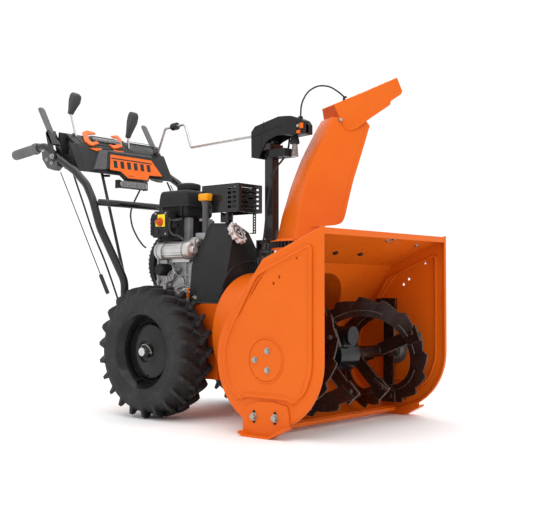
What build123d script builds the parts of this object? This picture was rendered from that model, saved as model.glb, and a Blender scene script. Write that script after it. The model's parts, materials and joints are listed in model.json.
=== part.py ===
from build123d import *
import os
from math import acos, atan2, cos, degrees, hypot, pi, radians, sin, sqrt, tan

# Two stage snow blower, millimetres, +Z up.
# The machine faces -Y: the auger housing's front edge is the plane y = 0 while the parts are made,
# and FRAME_SHIFT then moves every part so that the origin is under the middle of the machine.
# -X is the operator's right-hand side.

# ---------------------------------------------------------------- driving dimensions
FRAME_SHIFT = -691.0          # from the housing's front edge to the row origin, along Y
SHEET = 3.0                   # housing sheet thickness

# auger housing
HOUSING_HALF = 304.0          # outer face of the side panels' rim
HOUSING_HEIGHT = 535.0
AUGER_Y, AUGER_Z = 176.0, 197.0
PANEL_R = 176.0               # side panel outline radius about the auger axis
TOP_BREAK = (192.0, 457.0)    # where the top sheet turns down towards the impeller drum
FLANGE_DEPTH = 13.0           # side panels' turned-in rim
FIELD_RISE = 4.0              # how far the panels' middle is pressed outwards
FIELD_MARGIN = 30.0
FLANGE_X = HOUSING_HALF - FLANGE_DEPTH
WRAPPER_HALF = HOUSING_HALF - SHEET
LIP_Y = 182.0                 # lower front edge of the wrapper
BEARING_PLATE_R = 54.0
BEARING_BOLTS = [(168.0, 221.0), (210.0, 197.0), (168.0, 172.0)]     # (y, z) on both panels
SIDE_HOLES = [(74.0, 458.0), (131.0, 410.0), (150.0, 394.0)]
SIDE_HOLE_R = 4.2
SKID_Y0, SKID_Y1 = 99.0, 253.0
SKID_THICK, SKID_SOLE = 5.0, 26.0
SKID_BOLTS = [(144.0, 52.0), (215.0, 51.0)]

# augers, gearcase and impeller
AUGER_SHAFT_R = 12.5
GEARCASE_HALF = 44.0
WORM_R, WORM_WHEEL_R = 14.5, 37.5
PIN_X, PIN_R = 90.0, 3.2      # shear pins' distance from the middle, and their holes
SLEEVE_R = 17.5
FLIGHT_X0, FLIGHT_X1 = 64.0, 264.0
FLIGHT_IN, FLIGHT_OUT = 104.0, 160.0
FLIGHT_STARTS, FLIGHT_SWEEP = (38.0, 218.0), 240.0
FLIGHT_THICK = 5.0
TOOTH_DEPTH = 12.0            # notches of the flights' saw-toothed edge
IMPELLER_SHAFT_R, IMPELLER_HUB_R = 9.5, 24.0
BLADE_Y0, BLADE_Y1 = 341.0, 446.0     # impeller blades, just behind the augers' sweep
BLADE_R = 168.0
HUB_Y0 = 290.0                # front end of the impeller's hub, between the augers

# impeller drum, chute ring and chute
IMPELLER_Z = 250.0
DRUM_R, DRUM_BACK = 178.0, 489.0
CHUTE_X, CHUTE_Y = 40.0, 338.0
CHUTE_REST_TURN = 27.0        # degrees that the chute points forward of straight left
NECK_R = 70.0
RING_Z0, RING_Z1 = 500.0, 518.0
GEAR_MODULE = 4.0
RING_TEETH, PINION_TEETH = 44, 12
CHUTE_HALF = 77.0             # half width of the chute's channel
# the chute's back and front edges, (along the throw, z), and the deflector's hinge
BACK = [(-47, 521), (-38, 573), (-20, 667), (11, 782), (78, 891)]
FRONT = [(178, 879), (191, 864), (167, 791), (138, 706), (107, 592), (96, 574), (70, 566)]
HINGE = (104.0, 880.0)
STUD_R = 5.0
POST_Y = CHUTE_Y + GEAR_MODULE * (RING_TEETH + PINION_TEETH) / 2
POST_HALF = 15.0
POST_TOP = 800.0

# drive train
FRAME_HALF, FRAME_Y0, FRAME_Y1 = 145.0, 501.0, 850.0
FRAME_Z0, FRAME_Z1 = 118.0, 337.0
BULKHEAD_Y = 612.0
WHEEL_Y, WHEEL_Z, WHEEL_R = 686.0, 196.0, 196.0
TYRE_INNER_X, TYRE_OUTER_X = 156.0, 281.0
RIM_R = 106.0
AXLE_R = 12.5
HEX_SHAFT_Y = 690.5
HEX_SHAFT_R = 8.0
DRIVE_MODULE, DRIVE_TEETH, HEX_TEETH = 2.5, 49, 14
DISC_Z, DISC_R = 262.0, 70.0
DISC_FACE_Y = 634.0
DISC_SHAFT_R = 10.0
FRICTION_R = HEX_SHAFT_Y - DISC_FACE_Y - 1.5
CRANK_Z, CRANKSHAFT_R = 460.0, 12.7   # engine crankshaft
BELT_Y = 581.0                # middle of the auger belt
BELT_WIDTH, BELT_THICK = 6.8, 7.5
GROOVE_DEPTH = 6.0            # of both belt pulleys
ENGINE_PULLEY_R, IMPELLER_PULLEY_R = 38.0, 86.0

# engine
FILL = (-82.0, 612.0)         # (x, y) of the dipstick tube
TANK_NECK = (-40.0, 725.0)    # (x, y) of the filler neck
STARTER = (-133.0, 497.0)     # (x, z) of the electric starter's axis
CHOKE, CHOKE_R = (736.0, 586.0), 13.0       # (y, z) of the choke knob
BUTTON, BUTTON_R = (748.0, 556.0), 8.0      # (y, z) of the start button
BLOWER_R, DOME_R = 110.0, 76.0

# handlebars and controls
BAR_X, BAR_R = 230.0, 12.7
BAR_WALL = 2.0
BAR_FOOT_X = FRAME_HALF + BAR_R + 0.05
BAR_FOOT_Y = 893.0
BAR_BOLTS = [(BAR_FOOT_Y, 322.0), (BAR_FOOT_Y, 266.0)]
BAR_ROUTE = [(BAR_X, 1378, 841), (BAR_X, 1213, 858), (BAR_X, 1143, 811), (BAR_X, 1054, 761),
             (BAR_X, 996, 714), (BAR_X, 965, 665), (BAR_X - 6, 935, 575), (BAR_FOOT_X, BAR_FOOT_Y, 405),
             (BAR_FOOT_X, BAR_FOOT_Y, 240)]
BAR_RADII = [60, 90, 90, 60, 90, 90, 90]
LEVER_PIVOT = (1151.0, 816.0)
CHEEK_X0, CHEEK_X1 = 13.2, 17.0       # hand lever cheeks, either side of the tube's middle
DASH_HALF = 211.0
DASH_OUTLINE = [(1058, 768), (1107, 861), (1165, 905), (1175, 840), (1130, 775)]
DASH_HOLLOW = [(1067, 774), (1110, 857), (1162, 897), (1171, 841), (1128, 779)]
DASH_PIVOT = (1125.0, 812.0)
SPEED_X, DEFLECTOR_X = 60.0, -150.0
CRANK_FRONT = (40.0, 498.0, 853.0)
CRANK_REAR = (176.0, 1116.0, 866.0)

# cables
CABLE_R, DEFLECTOR_CABLE_R = 3.0, 2.5
TRACTION_CABLE = [(-212, 1090, 765), (-214, 1062, 715), (-214, 1028, 650), (-212, 985, 560), (-198, 948, 480),
                  (-176, 930, 400), (-158, 916, 330), (-149, 906, 270)]
LAMP_CABLE = [(56, 1055, 731), (56, 1070, 712), (30, 1064, 678), (0, 1048, 640), (-26, 1010, 592),
              (-44, 960, 548), (-54, 922, 522), (-60, 904, 516)]
CHUTE_CABLE = [(62, 398, 835), (60, 402, 800), (50, 415, 770), (33, 427, 748), (17, 430, 716), (6, 434, 665),
               (0, 438, 600), (-2, 444, 540), (-4, 454, 490), (-2, 466, 450)]

# fits
RUNNING = 0.05                # radial clearance of a running fit
CLEAR = 0.2                   # radial clearance of a bolt hole

PARTS = {}


# ---------------------------------------------------------------- small helpers
def add(name, *shapes):
    """Keep one named part, moved into the row frame."""
    solids = [s for shape in shapes for s in shape.solids()]
    body = solids[0] if len(solids) == 1 else Compound(solids)
    PARTS[name] = Pos(0, FRAME_SHIFT, 0) * body


def box(x0, x1, y0, y1, z0, z1):
    return Pos((x0 + x1) / 2, (y0 + y1) / 2, (z0 + z1) / 2) * Box(x1 - x0, y1 - y0, z1 - z0)


def rod_x(y, z, r, x0, x1):
    return Pos((x0 + x1) / 2, y, z) * Rot(0, 90, 0) * Cylinder(r, x1 - x0)


def rod_y(x, z, r, y0, y1):
    return Pos(x, (y0 + y1) / 2, z) * Rot(90, 0, 0) * Cylinder(r, y1 - y0)


def rod_z(x, y, r, z0, z1):
    return Pos(x, y, (z0 + z1) / 2) * Cylinder(r, z1 - z0)


def slab_x(sketch, x0, x1):
    """A (y, z) sketch made solid between two x planes."""
    return extrude(Plane.YZ.offset(x0) * sketch, amount=x1 - x0)


def slab_y(sketch, y0, y1):
    """An (x, z) sketch made solid between two y planes."""
    plane = Plane(origin=(0, y0, 0), x_dir=(1, 0, 0), z_dir=(0, -1, 0))
    return extrude(plane * sketch, amount=-(y1 - y0))


def slab_z(sketch, z0, z1):
    return extrude(Pos(0, 0, z0) * sketch, amount=z1 - z0)


def outline(*points):
    return make_face(Polyline(*points, close=True))


def mirror_x(shape):
    return mirror(shape, about=Plane.YZ)


def tube(points, r, radii, bore=0.0):
    """A round bar, or a pipe when bore is given, along straight runs joined by arcs."""
    path = FilletPolyline(*points, radius=radii)
    start = Plane(origin=path @ 0, z_dir=path % 0)
    section = Circle(r) - Circle(bore) if bore else Circle(r)
    return sweep(start * section, path=path)


def cable_radii(name, points):
    """The largest arcs that a cable's runs allow, printed for a check against its diameter."""
    vectors = [Vector(*b) - Vector(*a) for a, b in zip(points, points[1:])]
    radii = []
    for before, after in zip(vectors, vectors[1:]):
        half_turn = radians(before.get_angle(after)) / 2
        radii.append(0.45 * min(before.length, after.length) / tan(half_turn))
    print(name, "radii", [round(r) for r in radii], "length", round(sum(v.length for v in vectors)))
    return radii


def gear_sketch(teeth, module, backlash=0.6):
    """A plain spur gear outline with straight-sided teeth and a little backlash."""
    pitch = teeth * module / 2
    root, tip = pitch - 1.25 * module, pitch + 0.85 * module
    points = []
    for i in range(teeth):
        middle = 2 * pi * i / teeth
        half = (pi * module / 2 - backlash) / 2
        for r, width in ((root, 1.45 * half), (pitch, half), (tip, 0.45 * half),
                         (tip, -0.45 * half), (pitch, -half), (root, -1.45 * half)):
            angle = middle - width / r
            points.append((r * cos(angle), r * sin(angle)))
    return outline(*points)


def washer_head(r_head, h_head, r_washer, h_washer):
    """A hexagon head on its washer, seated on z = 0."""
    washer = Pos(0, 0, h_washer / 2) * Cylinder(r_washer, h_washer)
    head = extrude(Pos(0, 0, h_washer) * RegularPolygon(r_head, 6), amount=h_head)
    return washer + head


def hex_bolt(place, grip, shank_r=4.0):
    """A hexagon bolt whose head seats on the place's plane and whose shank goes grip deep below it."""
    head = washer_head(1.65 * shank_r, 1.3 * shank_r, 2.1 * shank_r, 0.4 * shank_r)
    shank = Pos(0, 0, -grip / 2) * Cylinder(shank_r, grip)
    return place * (head + shank)


def facing_x(side, x, y, z):
    """A plane on a face whose normal points outwards along X; side is -1 or +1."""
    return Plane(origin=(side * x, y, z), x_dir=(0, 1, 0), z_dir=(side, 0, 0))


# ---------------------------------------------------------------- auger housing
def tangent_point():
    """Where the rear slope of the top sheet meets the panels' round back."""
    dy, dz = TOP_BREAK[0] - AUGER_Y, TOP_BREAK[1] - AUGER_Z
    spread = acos(PANEL_R / hypot(dy, dz))
    angle = atan2(dz, dy) - spread
    return AUGER_Y + PANEL_R * cos(angle), AUGER_Z + PANEL_R * sin(angle), angle


def housing_profile(inset=0.0):
    """The housing's side outline: straight front edge, sloping top, round back and underside."""
    y_t, z_t, angle = tangent_point()
    middle = (angle - pi) / 2
    arc = ThreePointArc((y_t, z_t),
                        (AUGER_Y + PANEL_R * cos(middle), AUGER_Z + PANEL_R * sin(middle)),
                        (AUGER_Y - PANEL_R, AUGER_Z))
    lines = Polyline((0, AUGER_Z), (0, HOUSING_HEIGHT), TOP_BREAK, (y_t, z_t))
    face = make_face(Curve() + [arc, lines])
    return offset(face, amount=-inset, kind=Kind.INTERSECTION) if inset else face


def field_profile(inset=0.0):
    """The pressed-out middle of a side panel, which dips over the skid shoe."""
    field = housing_profile(FIELD_MARGIN)
    dip = Pos(176, 40) * RectangleRounded(196, 118, 22)
    field = field - dip
    return offset(field, amount=-inset, kind=Kind.INTERSECTION) if inset else field


def side_panel():
    """The panel on the +X side: a pan with a turned-in rim, a raised field and a bearing plate."""
    pan = slab_x(housing_profile(), FLANGE_X, HOUSING_HALF)
    pan = fillet(pan.faces().sort_by(Axis.X)[-1].edges(), 5.0)
    pan -= slab_x(housing_profile(SHEET), FLANGE_X - 1, WRAPPER_HALF)
    field = extrude(Plane.YZ.offset(WRAPPER_HALF) * field_profile(), amount=SHEET + FIELD_RISE, taper=25)
    hollow = extrude(Plane.YZ.offset(WRAPPER_HALF) * field_profile(SHEET), amount=FIELD_RISE, taper=25)
    plate_face = HOUSING_HALF + FIELD_RISE
    plate = rod_x(AUGER_Y, AUGER_Z, BEARING_PLATE_R, plate_face - 1, plate_face + 2)
    plate = chamfer(plate.edges().sort_by(Axis.X)[-1], 1.8)
    panel = pan + field - hollow + plate
    for y, z in BEARING_BOLTS:
        panel -= rod_x(y, z, 4 + CLEAR, 280, 320)
    for y, z in SIDE_HOLES:
        panel -= rod_x(y, z, SIDE_HOLE_R, 280, 320)
    for y, z in SKID_BOLTS:
        panel -= rod_x(y, z, 5 + CLEAR, 280, 320)
    return panel


def wrapper():
    """The sheet wrapped between the panels, open at the front and round the impeller drum."""
    sheet = slab_x(housing_profile(SHEET) - housing_profile(2 * SHEET), -WRAPPER_HALF, WRAPPER_HALF)
    front_cut = outline((-1, AUGER_Z - 8), (6.5, AUGER_Z - 8), (6.5, 522), (-1, 522))
    scraper_end = outline((-1, AUGER_Z), (LIP_Y, AUGER_Z), (LIP_Y, -5), (-1, -5))
    sheet -= slab_x(front_cut + scraper_end, -WRAPPER_HALF - 1, WRAPPER_HALF + 1)
    sheet -= rod_y(0, IMPELLER_Z, DRUM_R - SHEET, 195, 360)
    hem = outline((0, 532), (0, 516), (3, 516), (3, 529), (12, 526), (12, 530))
    lip = slab_x(hem, -FLANGE_X + 0.5, FLANGE_X - 0.5)
    lip -= slab_x(housing_profile(SHEET), -400, 400) - box(-400, 400, -1, 6.5, 500, 540)
    return sheet + lip


def scraper_bar():
    """The wear edge bolted under the front of the wrapper."""
    section = outline((172, 28), (172, 14), (180, 10), (232, 22), (232, 40))
    bar = slab_x(section, -FLANGE_X + 0.5, FLANGE_X - 0.5)
    return bar - rod_x(AUGER_Y, AUGER_Z, PANEL_R - SHEET, -400, 400)


def skid_shoe():
    """The +X skid shoe: an upright plate and a sole that curls up at both ends."""
    plate = outline((SKID_Y0, 60), (SKID_Y0 + 6, 84), (150, 92), (205, 90), (244, 76), (SKID_Y1, 56),
                    (SKID_Y1, 10), (236, 2), (150, 2), (SKID_Y0, 26))
    upright = slab_x(plate, HOUSING_HALF, HOUSING_HALF + SKID_THICK)
    for y, z in SKID_BOLTS:
        upright -= slab_x(Pos(y, z) * SlotOverall(34, 2 * (5 + CLEAR), rotation=90), 300, 320)
    sole = outline((SKID_Y0 - 4, 30), (SKID_Y0, 26), (150, 0), (236, 0), (SKID_Y1 + 2, 8), (SKID_Y1, 13),
                   (235, 5), (152, 5), (SKID_Y0 + 2, 31), (SKID_Y0 - 3, 34))
    foot = slab_x(sole, HOUSING_HALF, HOUSING_HALF + SKID_SOLE)
    return upright + foot


def impeller_housing():
    """Drum behind the auger housing with its back plate, and the neck that carries the chute."""
    drum = rod_y(0, IMPELLER_Z, DRUM_R, 150, DRUM_BACK)
    neck = rod_z(CHUTE_X, CHUTE_Y, NECK_R, IMPELLER_Z, RING_Z1 - 6)
    neck += rod_z(CHUTE_X, CHUTE_Y, 86, RING_Z0 - 6, RING_Z0)
    shell = drum + neck
    shell -= rod_y(0, IMPELLER_Z, DRUM_R - SHEET, 140, DRUM_BACK - SHEET)
    shell -= rod_z(CHUTE_X, CHUTE_Y, NECK_R - SHEET, IMPELLER_Z, 560)
    shell -= slab_x(housing_profile(SHEET), -WRAPPER_HALF, WRAPPER_HALF)
    shell -= rod_y(0, IMPELLER_Z, 20, DRUM_BACK - 10, DRUM_BACK + 1)
    return shell.solids().sort_by(SortBy.VOLUME)[-1]


def flange_bearing(bore):
    """A flanged bearing standing on z = 0, bored for a shaft."""
    return Pos(0, 0, 1.5) * Cylinder(42, 3) + Pos(0, 0, 9) * Cylinder(26, 12) - Cylinder(bore + RUNNING, 60)


def bearings():
    """Bearings of the auger shaft, on the panels, and of the wheel axle, on the frame."""
    group = []
    for side in (-1, 1):
        inward = facing_x(-side, -WRAPPER_HALF, AUGER_Y, AUGER_Z)
        auger_bearing = inward * flange_bearing(AUGER_SHAFT_R)
        auger_bearing += rod_x(AUGER_Y, AUGER_Z, 20, *sorted((side * 299, side * WRAPPER_HALF)))
        for y, z in BEARING_BOLTS:
            auger_bearing -= rod_x(y, z, 4 + CLEAR, *sorted((side * 280, side * 310)))
        group.append(auger_bearing)
        inside = facing_x(-side, 4 - FRAME_HALF, WHEEL_Y, WHEEL_Z)
        group.append(inside * flange_bearing(AXLE_R))
    return group


# ---------------------------------------------------------------- auger and impeller
def closed_solid(loops):
    """A solid skinned over a row of equal closed loops of points, with flat ends."""
    count = len(loops[0])
    faces = [Face(Wire.make_polygon(loops[0], close=True)), Face(Wire.make_polygon(loops[-1], close=True))]
    for near, far in zip(loops, loops[1:]):
        for i in range(count):
            j = (i + 1) % count
            faces.append(Face(Wire.make_polygon([near[i], near[j], far[j]], close=True)))
            faces.append(Face(Wire.make_polygon([near[i], far[j], far[i]], close=True)))
    return Solid(Shell(faces))


def flight_x(share):
    """Distance across the machine at a share of a flight's sweep: steep at the middle, flatter outside."""
    return FLIGHT_X0 + (FLIGHT_X1 - FLIGHT_X0) * (1 - (1 - share) ** 1.5)


def ribbon(start):
    """A helical flight about the auger axis with a saw-toothed outer edge."""
    teeth = round(FLIGHT_SWEEP / 24)
    edge = [(i / teeth, FLIGHT_OUT) for i in range(teeth + 1)]
    edge += [((i + 0.94) / teeth, FLIGHT_OUT - TOOTH_DEPTH) for i in range(teeth)]
    loops = []
    for share, outer in sorted(edge):
        angle = radians(start + FLIGHT_SWEEP * share)
        near, far = flight_x(share) - FLIGHT_THICK / 2, flight_x(share) + FLIGHT_THICK / 2
        corners = [(near, FLIGHT_IN), (near, outer), (far, outer), (far, FLIGHT_IN)]
        loops.append([(x, AUGER_Y + r * cos(angle), AUGER_Z + r * sin(angle)) for x, r in corners])
    return closed_solid(loops)


def spoke(x, angle):
    """A flat bar from the auger's sleeve out to a flight."""
    return Pos(x, AUGER_Y, AUGER_Z) * Rot(angle - 90, 0, 0) * Pos(0, 0, 65) * Box(6, 36, 106)


def auger_half():
    """The +X auger: a sleeve on the shaft, two serrated flights and their spokes."""
    body = rod_x(AUGER_Y, AUGER_Z, SLEEVE_R, 56, 280)
    for start in FLIGHT_STARTS:
        body += ribbon(start)
        for share in (0.03, 0.5, 0.97):
            body += spoke(flight_x(share), start + FLIGHT_SWEEP * share)
    body -= rod_x(AUGER_Y, AUGER_Z, AUGER_SHAFT_R, 50, 290)
    body -= rod_z(PIN_X, AUGER_Y, PIN_R, AUGER_Z - 30, AUGER_Z + 30)
    return body


def auger_shaft():
    """Cross shaft with the worm wheel keyed to its middle and a shear pin through each auger."""
    shaft = rod_x(AUGER_Y, AUGER_Z, AUGER_SHAFT_R, -298, 298)
    wheel = Rot(0, 90, 0) * Cylinder(WORM_WHEEL_R, 22)
    shaft += Pos(0, AUGER_Y, AUGER_Z) * wheel
    for x in (-PIN_X, PIN_X):
        shaft -= rod_z(x, AUGER_Y, PIN_R, AUGER_Z - 30, AUGER_Z + 30)
    return shaft


def shear_pins():
    """One shear pin through each auger's sleeve and the shaft."""
    pins = []
    for x in (-PIN_X, PIN_X):
        pin = rod_z(x, AUGER_Y, PIN_R - RUNNING, AUGER_Z - 24, AUGER_Z + 24)
        pins.append(pin + rod_z(x, AUGER_Y, 6, AUGER_Z + 21, AUGER_Z + 25))
    return pins


def gearcase():
    """The cast case that holds the worm above the worm wheel."""
    lower = Pos(0, AUGER_Y, AUGER_Z) * Rot(0, 90, 0) * Cylinder(48, 2 * GEARCASE_HALF)
    upper = rod_y(0, IMPELLER_Z, 26, 120, 262)
    case = lower + box(-26, 26, 134, 232, AUGER_Z, IMPELLER_Z) + upper
    inside = rod_x(AUGER_Y, AUGER_Z, 42, -15, 15) + rod_y(0, IMPELLER_Z, 20, 132, 252)
    case -= inside + box(-14, 14, 138, 226, AUGER_Z, IMPELLER_Z)
    case -= rod_x(AUGER_Y, AUGER_Z, AUGER_SHAFT_R + RUNNING, -60, 60)
    return case - rod_y(0, IMPELLER_Z, IMPELLER_SHAFT_R + RUNNING, 240, 280)


def impeller_shaft():
    """Fore and aft shaft: the worm at its front end, the belt pulley keyed on at the rear."""
    shaft = rod_y(0, IMPELLER_Z, IMPELLER_SHAFT_R, 136, 604)
    shaft += rod_y(0, IMPELLER_Z, WORM_R, 146, 206)
    rim = revolve(pulley_section(IMPELLER_PULLEY_R, 24), Axis.Z)
    return shaft + Pos(0, BELT_Y, IMPELLER_Z) * Rot(90, 0, 0) * rim


def pulley_section(r, hub_r):
    """Half section of a V-belt pulley about Z, groove centred on z = 0."""
    bottom = r - GROOVE_DEPTH
    points = [(0, -9), (r + 5, -9), (r + 5, -7.5), (bottom, -4), (bottom, 4), (r + 5, 7.5), (r + 5, 9),
              (hub_r, 9), (hub_r, 14), (0, 14)]
    return Plane.XZ * outline(*points)


def impeller():
    """Three-bladed impeller: hub, back disc and blades with turned-over tips."""
    hub = rod_y(0, IMPELLER_Z, IMPELLER_HUB_R, HUB_Y0, BLADE_Y1 + 6)
    body = hub + rod_y(0, IMPELLER_Z, 62, BLADE_Y1, BLADE_Y1 + 6)
    for i in range(3):
        blade = box(-3, 3, BLADE_Y0, BLADE_Y1, 18, BLADE_R) + box(-3, 26, BLADE_Y0, BLADE_Y1, 160, 166)
        blade += box(-3, 3, HUB_Y0, BLADE_Y1, 18, 48)
        body += Pos(0, 0, IMPELLER_Z) * Rot(0, 120 * i + 18, 0) * blade
    return body - rod_y(0, IMPELLER_Z, IMPELLER_SHAFT_R, HUB_Y0 - 10, 470)


# ---------------------------------------------------------------- frame and engine
def tractor_frame():
    """The box frame: sides, front, rear, bulkhead and engine deck, open underneath and over the belt."""
    shell = box(-FRAME_HALF, FRAME_HALF, FRAME_Y0, FRAME_Y1, FRAME_Z0, FRAME_Z1)
    shell -= box(-FRAME_HALF + 4, FRAME_HALF - 4, FRAME_Y0 + 4, BULKHEAD_Y, FRAME_Z0 - 1, FRAME_Z1 + 1)
    shell -= box(-FRAME_HALF + 4, FRAME_HALF - 4, BULKHEAD_Y + 4, FRAME_Y1 - 4, FRAME_Z0 - 1, FRAME_Z1 - 4)
    shell -= rod_y(0, IMPELLER_Z, 24, FRAME_Y0 - 1, FRAME_Y0 + 6)
    shell -= rod_x(WHEEL_Y, WHEEL_Z, 20, -150, 150)
    shell -= rod_x(HEX_SHAFT_Y, hex_shaft_z(), HEX_SHAFT_R + RUNNING, -150, 150)
    shell -= rod_y(0, DISC_Z, DISC_SHAFT_R + RUNNING, BULKHEAD_Y - 1, BULKHEAD_Y + 6)
    for side in (-1, 1):
        shell += box(*sorted((side * (FRAME_HALF - 4), side * FRAME_HALF)), FRAME_Y1, 912, 240, FRAME_Z1)
        for y, z in BAR_BOLTS:
            shell -= rod_x(y, z, 4 + CLEAR, *sorted((side * 130, side * 150)))
    return shell + box(-60, 60, DRUM_BACK, FRAME_Y0, 130, 160) + box(-110, 110, DRUM_BACK, FRAME_Y0, 320, 332)


def hex_shaft_z():
    """Height of the friction wheel's shaft, so that its pinion meshes with the axle gear."""
    centre = DRIVE_MODULE * (DRIVE_TEETH + HEX_TEETH) / 2
    return WHEEL_Z + sqrt(centre ** 2 - (HEX_SHAFT_Y - WHEEL_Y) ** 2)


def shaft_line():
    """Direction from the wheel axle to the friction wheel's shaft, in degrees above +Y."""
    return degrees(atan2(hex_shaft_z() - WHEEL_Z, HEX_SHAFT_Y - WHEEL_Y))


def frame_cover():
    """Bottom cover of the frame."""
    cover = box(-FRAME_HALF, FRAME_HALF, FRAME_Y0, FRAME_Y1, FRAME_Z0 - 2, FRAME_Z0)
    lip = box(-FRAME_HALF + 4.2, FRAME_HALF - 4.2, FRAME_Y0 + 4.2, FRAME_Y1 - 4.2, FRAME_Z0, FRAME_Z0 + 8)
    lip -= box(-FRAME_HALF + 6.2, FRAME_HALF - 6.2, FRAME_Y0 + 6.2, FRAME_Y1 - 6.2, FRAME_Z0, FRAME_Z0 + 9)
    lip -= box(-150, 150, BULKHEAD_Y - 1, BULKHEAD_Y + 5, FRAME_Z0, FRAME_Z0 + 9)
    return cover + lip


def drive_axle():
    """The wheel axle with its reduction gear."""
    gear = extrude(gear_sketch(DRIVE_TEETH, DRIVE_MODULE), amount=10)
    # one tooth points at the pinion
    turn = shaft_line() + 90
    return rod_x(WHEEL_Y, WHEEL_Z, AXLE_R, -272, 272) + gear_on_x(gear, 96, WHEEL_Y, WHEEL_Z, turn)


def gear_on_x(gear, x, y, z, turn=0.0):
    """A gear made on z = 0 laid on the X axis, turned about it by turn degrees."""
    return Pos(x, y, z) * Rot(turn, 0, 0) * Rot(0, 90, 0) * gear


def friction_wheel():
    """Hex shaft, the rubber-faced friction wheel on it, and the pinion that drives the axle gear."""
    z = hex_shaft_z()
    pinion = extrude(gear_sketch(HEX_TEETH, DRIVE_MODULE), amount=12)
    # a tooth gap points back at the axle gear
    turn = shaft_line() + 270 - 180 / HEX_TEETH
    body = rod_x(HEX_SHAFT_Y, z, HEX_SHAFT_R, -150, 150) + rod_x(HEX_SHAFT_Y, z, FRICTION_R, 38, 52)
    body += rod_x(HEX_SHAFT_Y, z, 22, 30, 60)
    return body + gear_on_x(pinion, 95, HEX_SHAFT_Y, z, turn)


def friction_disc():
    """The driven disc on its stub shaft through the bulkhead."""
    disc = rod_y(0, DISC_Z, DISC_R, 628, DISC_FACE_Y)
    return disc + rod_y(0, DISC_Z, DISC_SHAFT_R, 609.5, 628) + rod_y(0, DISC_Z, 18, 617, 628)


def engine_block():
    """Crankcase on its base flange, the leaning cylinder with its head, and the tank's pillars."""
    case = fillet(box(-105, 92, 628, 806, 349, 530).edges(), 10)
    base = box(-118, 104, 624, 812, FRAME_Z1, 352)
    barrel = Pos(92, 735, 474) * Rot(0, 62, 0) * Box(104, 112, 118)
    head = Pos(150, 735, 505) * Rot(0, 62, 0) * Box(120, 128, 44)
    pillars = box(-96, -78, 668, 690, 500, 600) + box(-10, 10, 668, 690, 500, 600)
    pillars += box(-96, -78, 752, 774, 500, 600)
    neck_boss = box(-95, -69, 601, 640, 529, 551)
    shaft_seal = rod_y(0, CRANK_Z, 34, 618, 640)
    block = case + base + barrel + head + pillars + neck_boss + shaft_seal
    block -= rod_y(0, CRANK_Z, CRANKSHAFT_R + RUNNING, 600, 700)
    block -= rod_z(*FILL, 7.1, 535, 560)
    return block


def fuel_tank():
    """Two-part blow-moulded tank with a seam flange and a filler neck."""
    lower = fillet(box(-114, 12, 664, 780, 600, 634).edges().filter_by(Axis.Z), 14)
    upper = fillet(box(-118, 16, 660, 790, 637, 686).edges().filter_by(Axis.Z), 16)
    upper = fillet(upper.faces().sort_by(Axis.Z)[-1].edges(), 8)
    seam = fillet(box(-122, 20, 655, 796, 633, 638).edges().filter_by(Axis.Z), 16)
    neck = rod_z(*TANK_NECK, 24, 680, 700)
    inside = box(-110, 8, 668, 776, 604, 632) + box(-112, 10, 666, 778, 632, 681)
    return lower + upper + seam + neck - inside - rod_z(*TANK_NECK, 20, 675, 701)


def fuel_cap():
    """The ribbed filler cap, a cup that turns on the tank's neck."""
    cap = rod_z(*TANK_NECK, 38, 690, 714) - rod_z(*TANK_NECK, 24.3, 680, 703)
    for i in range(16):
        cap -= Pos(*TANK_NECK, 0) * Rot(0, 0, 22.5 * i) * box(36, 40, -2, 2, 688, 712)
    return cap


def recoil_housing():
    """The blower housing with the rewind starter's slotted dome on it."""
    case = rod_y(0, CRANK_Z, BLOWER_R, 812, 842) + box(-60, 70, 812, 842, 352, CRANK_Z)
    dome = rod_y(0, CRANK_Z, DOME_R, 842, 872)
    dome = chamfer(dome.edges().sort_by(Axis.Y)[-1], 8)
    case += dome
    for i in range(12):
        case -= Pos(0, 0, CRANK_Z) * Rot(0, 30 * i, 0) * box(-5, 5, 865, 873, 36, 62)
    return case + box(15, 45, 838, 872.5, 545, 562) + box(15, 45, 868, 872.5, 558, 588)


def recoil_grip():
    """Starter rope handle parked against the rewind housing."""
    return fillet(box(-10, 70, 873, 891, 566, 586).edges(), 6)


def starter_motor():
    """Electric starter alongside the crankcase with its end caps and bracket."""
    x, z = STARTER
    body = rod_y(x, z, 25, 628, 735) + rod_y(x, z, 28, 614, 634) + rod_y(x, z, 28, 728, 764)
    body += rod_y(x, z, 12, 604, 614)
    return body - box(-105, -80, 600, 780, 460, 540)


def control_box():
    """The side control panel and air box under the tank."""
    panel = fillet(box(-150, -116, 704, 766, 541, 620).edges(), 5)
    box_behind = box(-124, 40, 690, 800, 541, 598)
    cleaner = fillet(box(-132, -40, 784, 808, 546, 620).edges(), 8)
    carrier = panel + box_behind + cleaner
    carrier -= box(-97, -77, 751, 775, 520, 600)
    carrier -= rod_x(*CHOKE, 6 + RUNNING, -151, -120)
    carrier -= rod_x(*BUTTON, BUTTON_R + CLEAR, -151, -125)
    return carrier


def choke_knob():
    """Turning choke knob on the control panel."""
    y, z = CHOKE
    knob = rod_x(y, z, CHOKE_R, -166, -150.3) + rod_x(y, z, 6, -151, -122)
    for start in (y - 10, y + 2):
        knob -= box(-170, -160, start, start + 8, z - 20, z + 20)
    return knob


def start_button():
    """Push button of the electric starter, low on the control panel."""
    return rod_x(*BUTTON, BUTTON_R, -156, -132)


def oil_fill_tube():
    """Dipstick tube rising from the crankcase boss."""
    return rod_z(*FILL, 7, 536, 560) + rod_z(*FILL, 10, 551, 648) - rod_z(*FILL, 5, 545, 649)


def dipstick():
    """Dipstick with its grooved cap."""
    cap = Pos(*FILL, 0) * fillet(box(-15, 15, -20, 20, 648.5, 670).edges().filter_by(Axis.Z), 7)
    return cap + rod_z(*FILL, 2.2, 556, 650)


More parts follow.
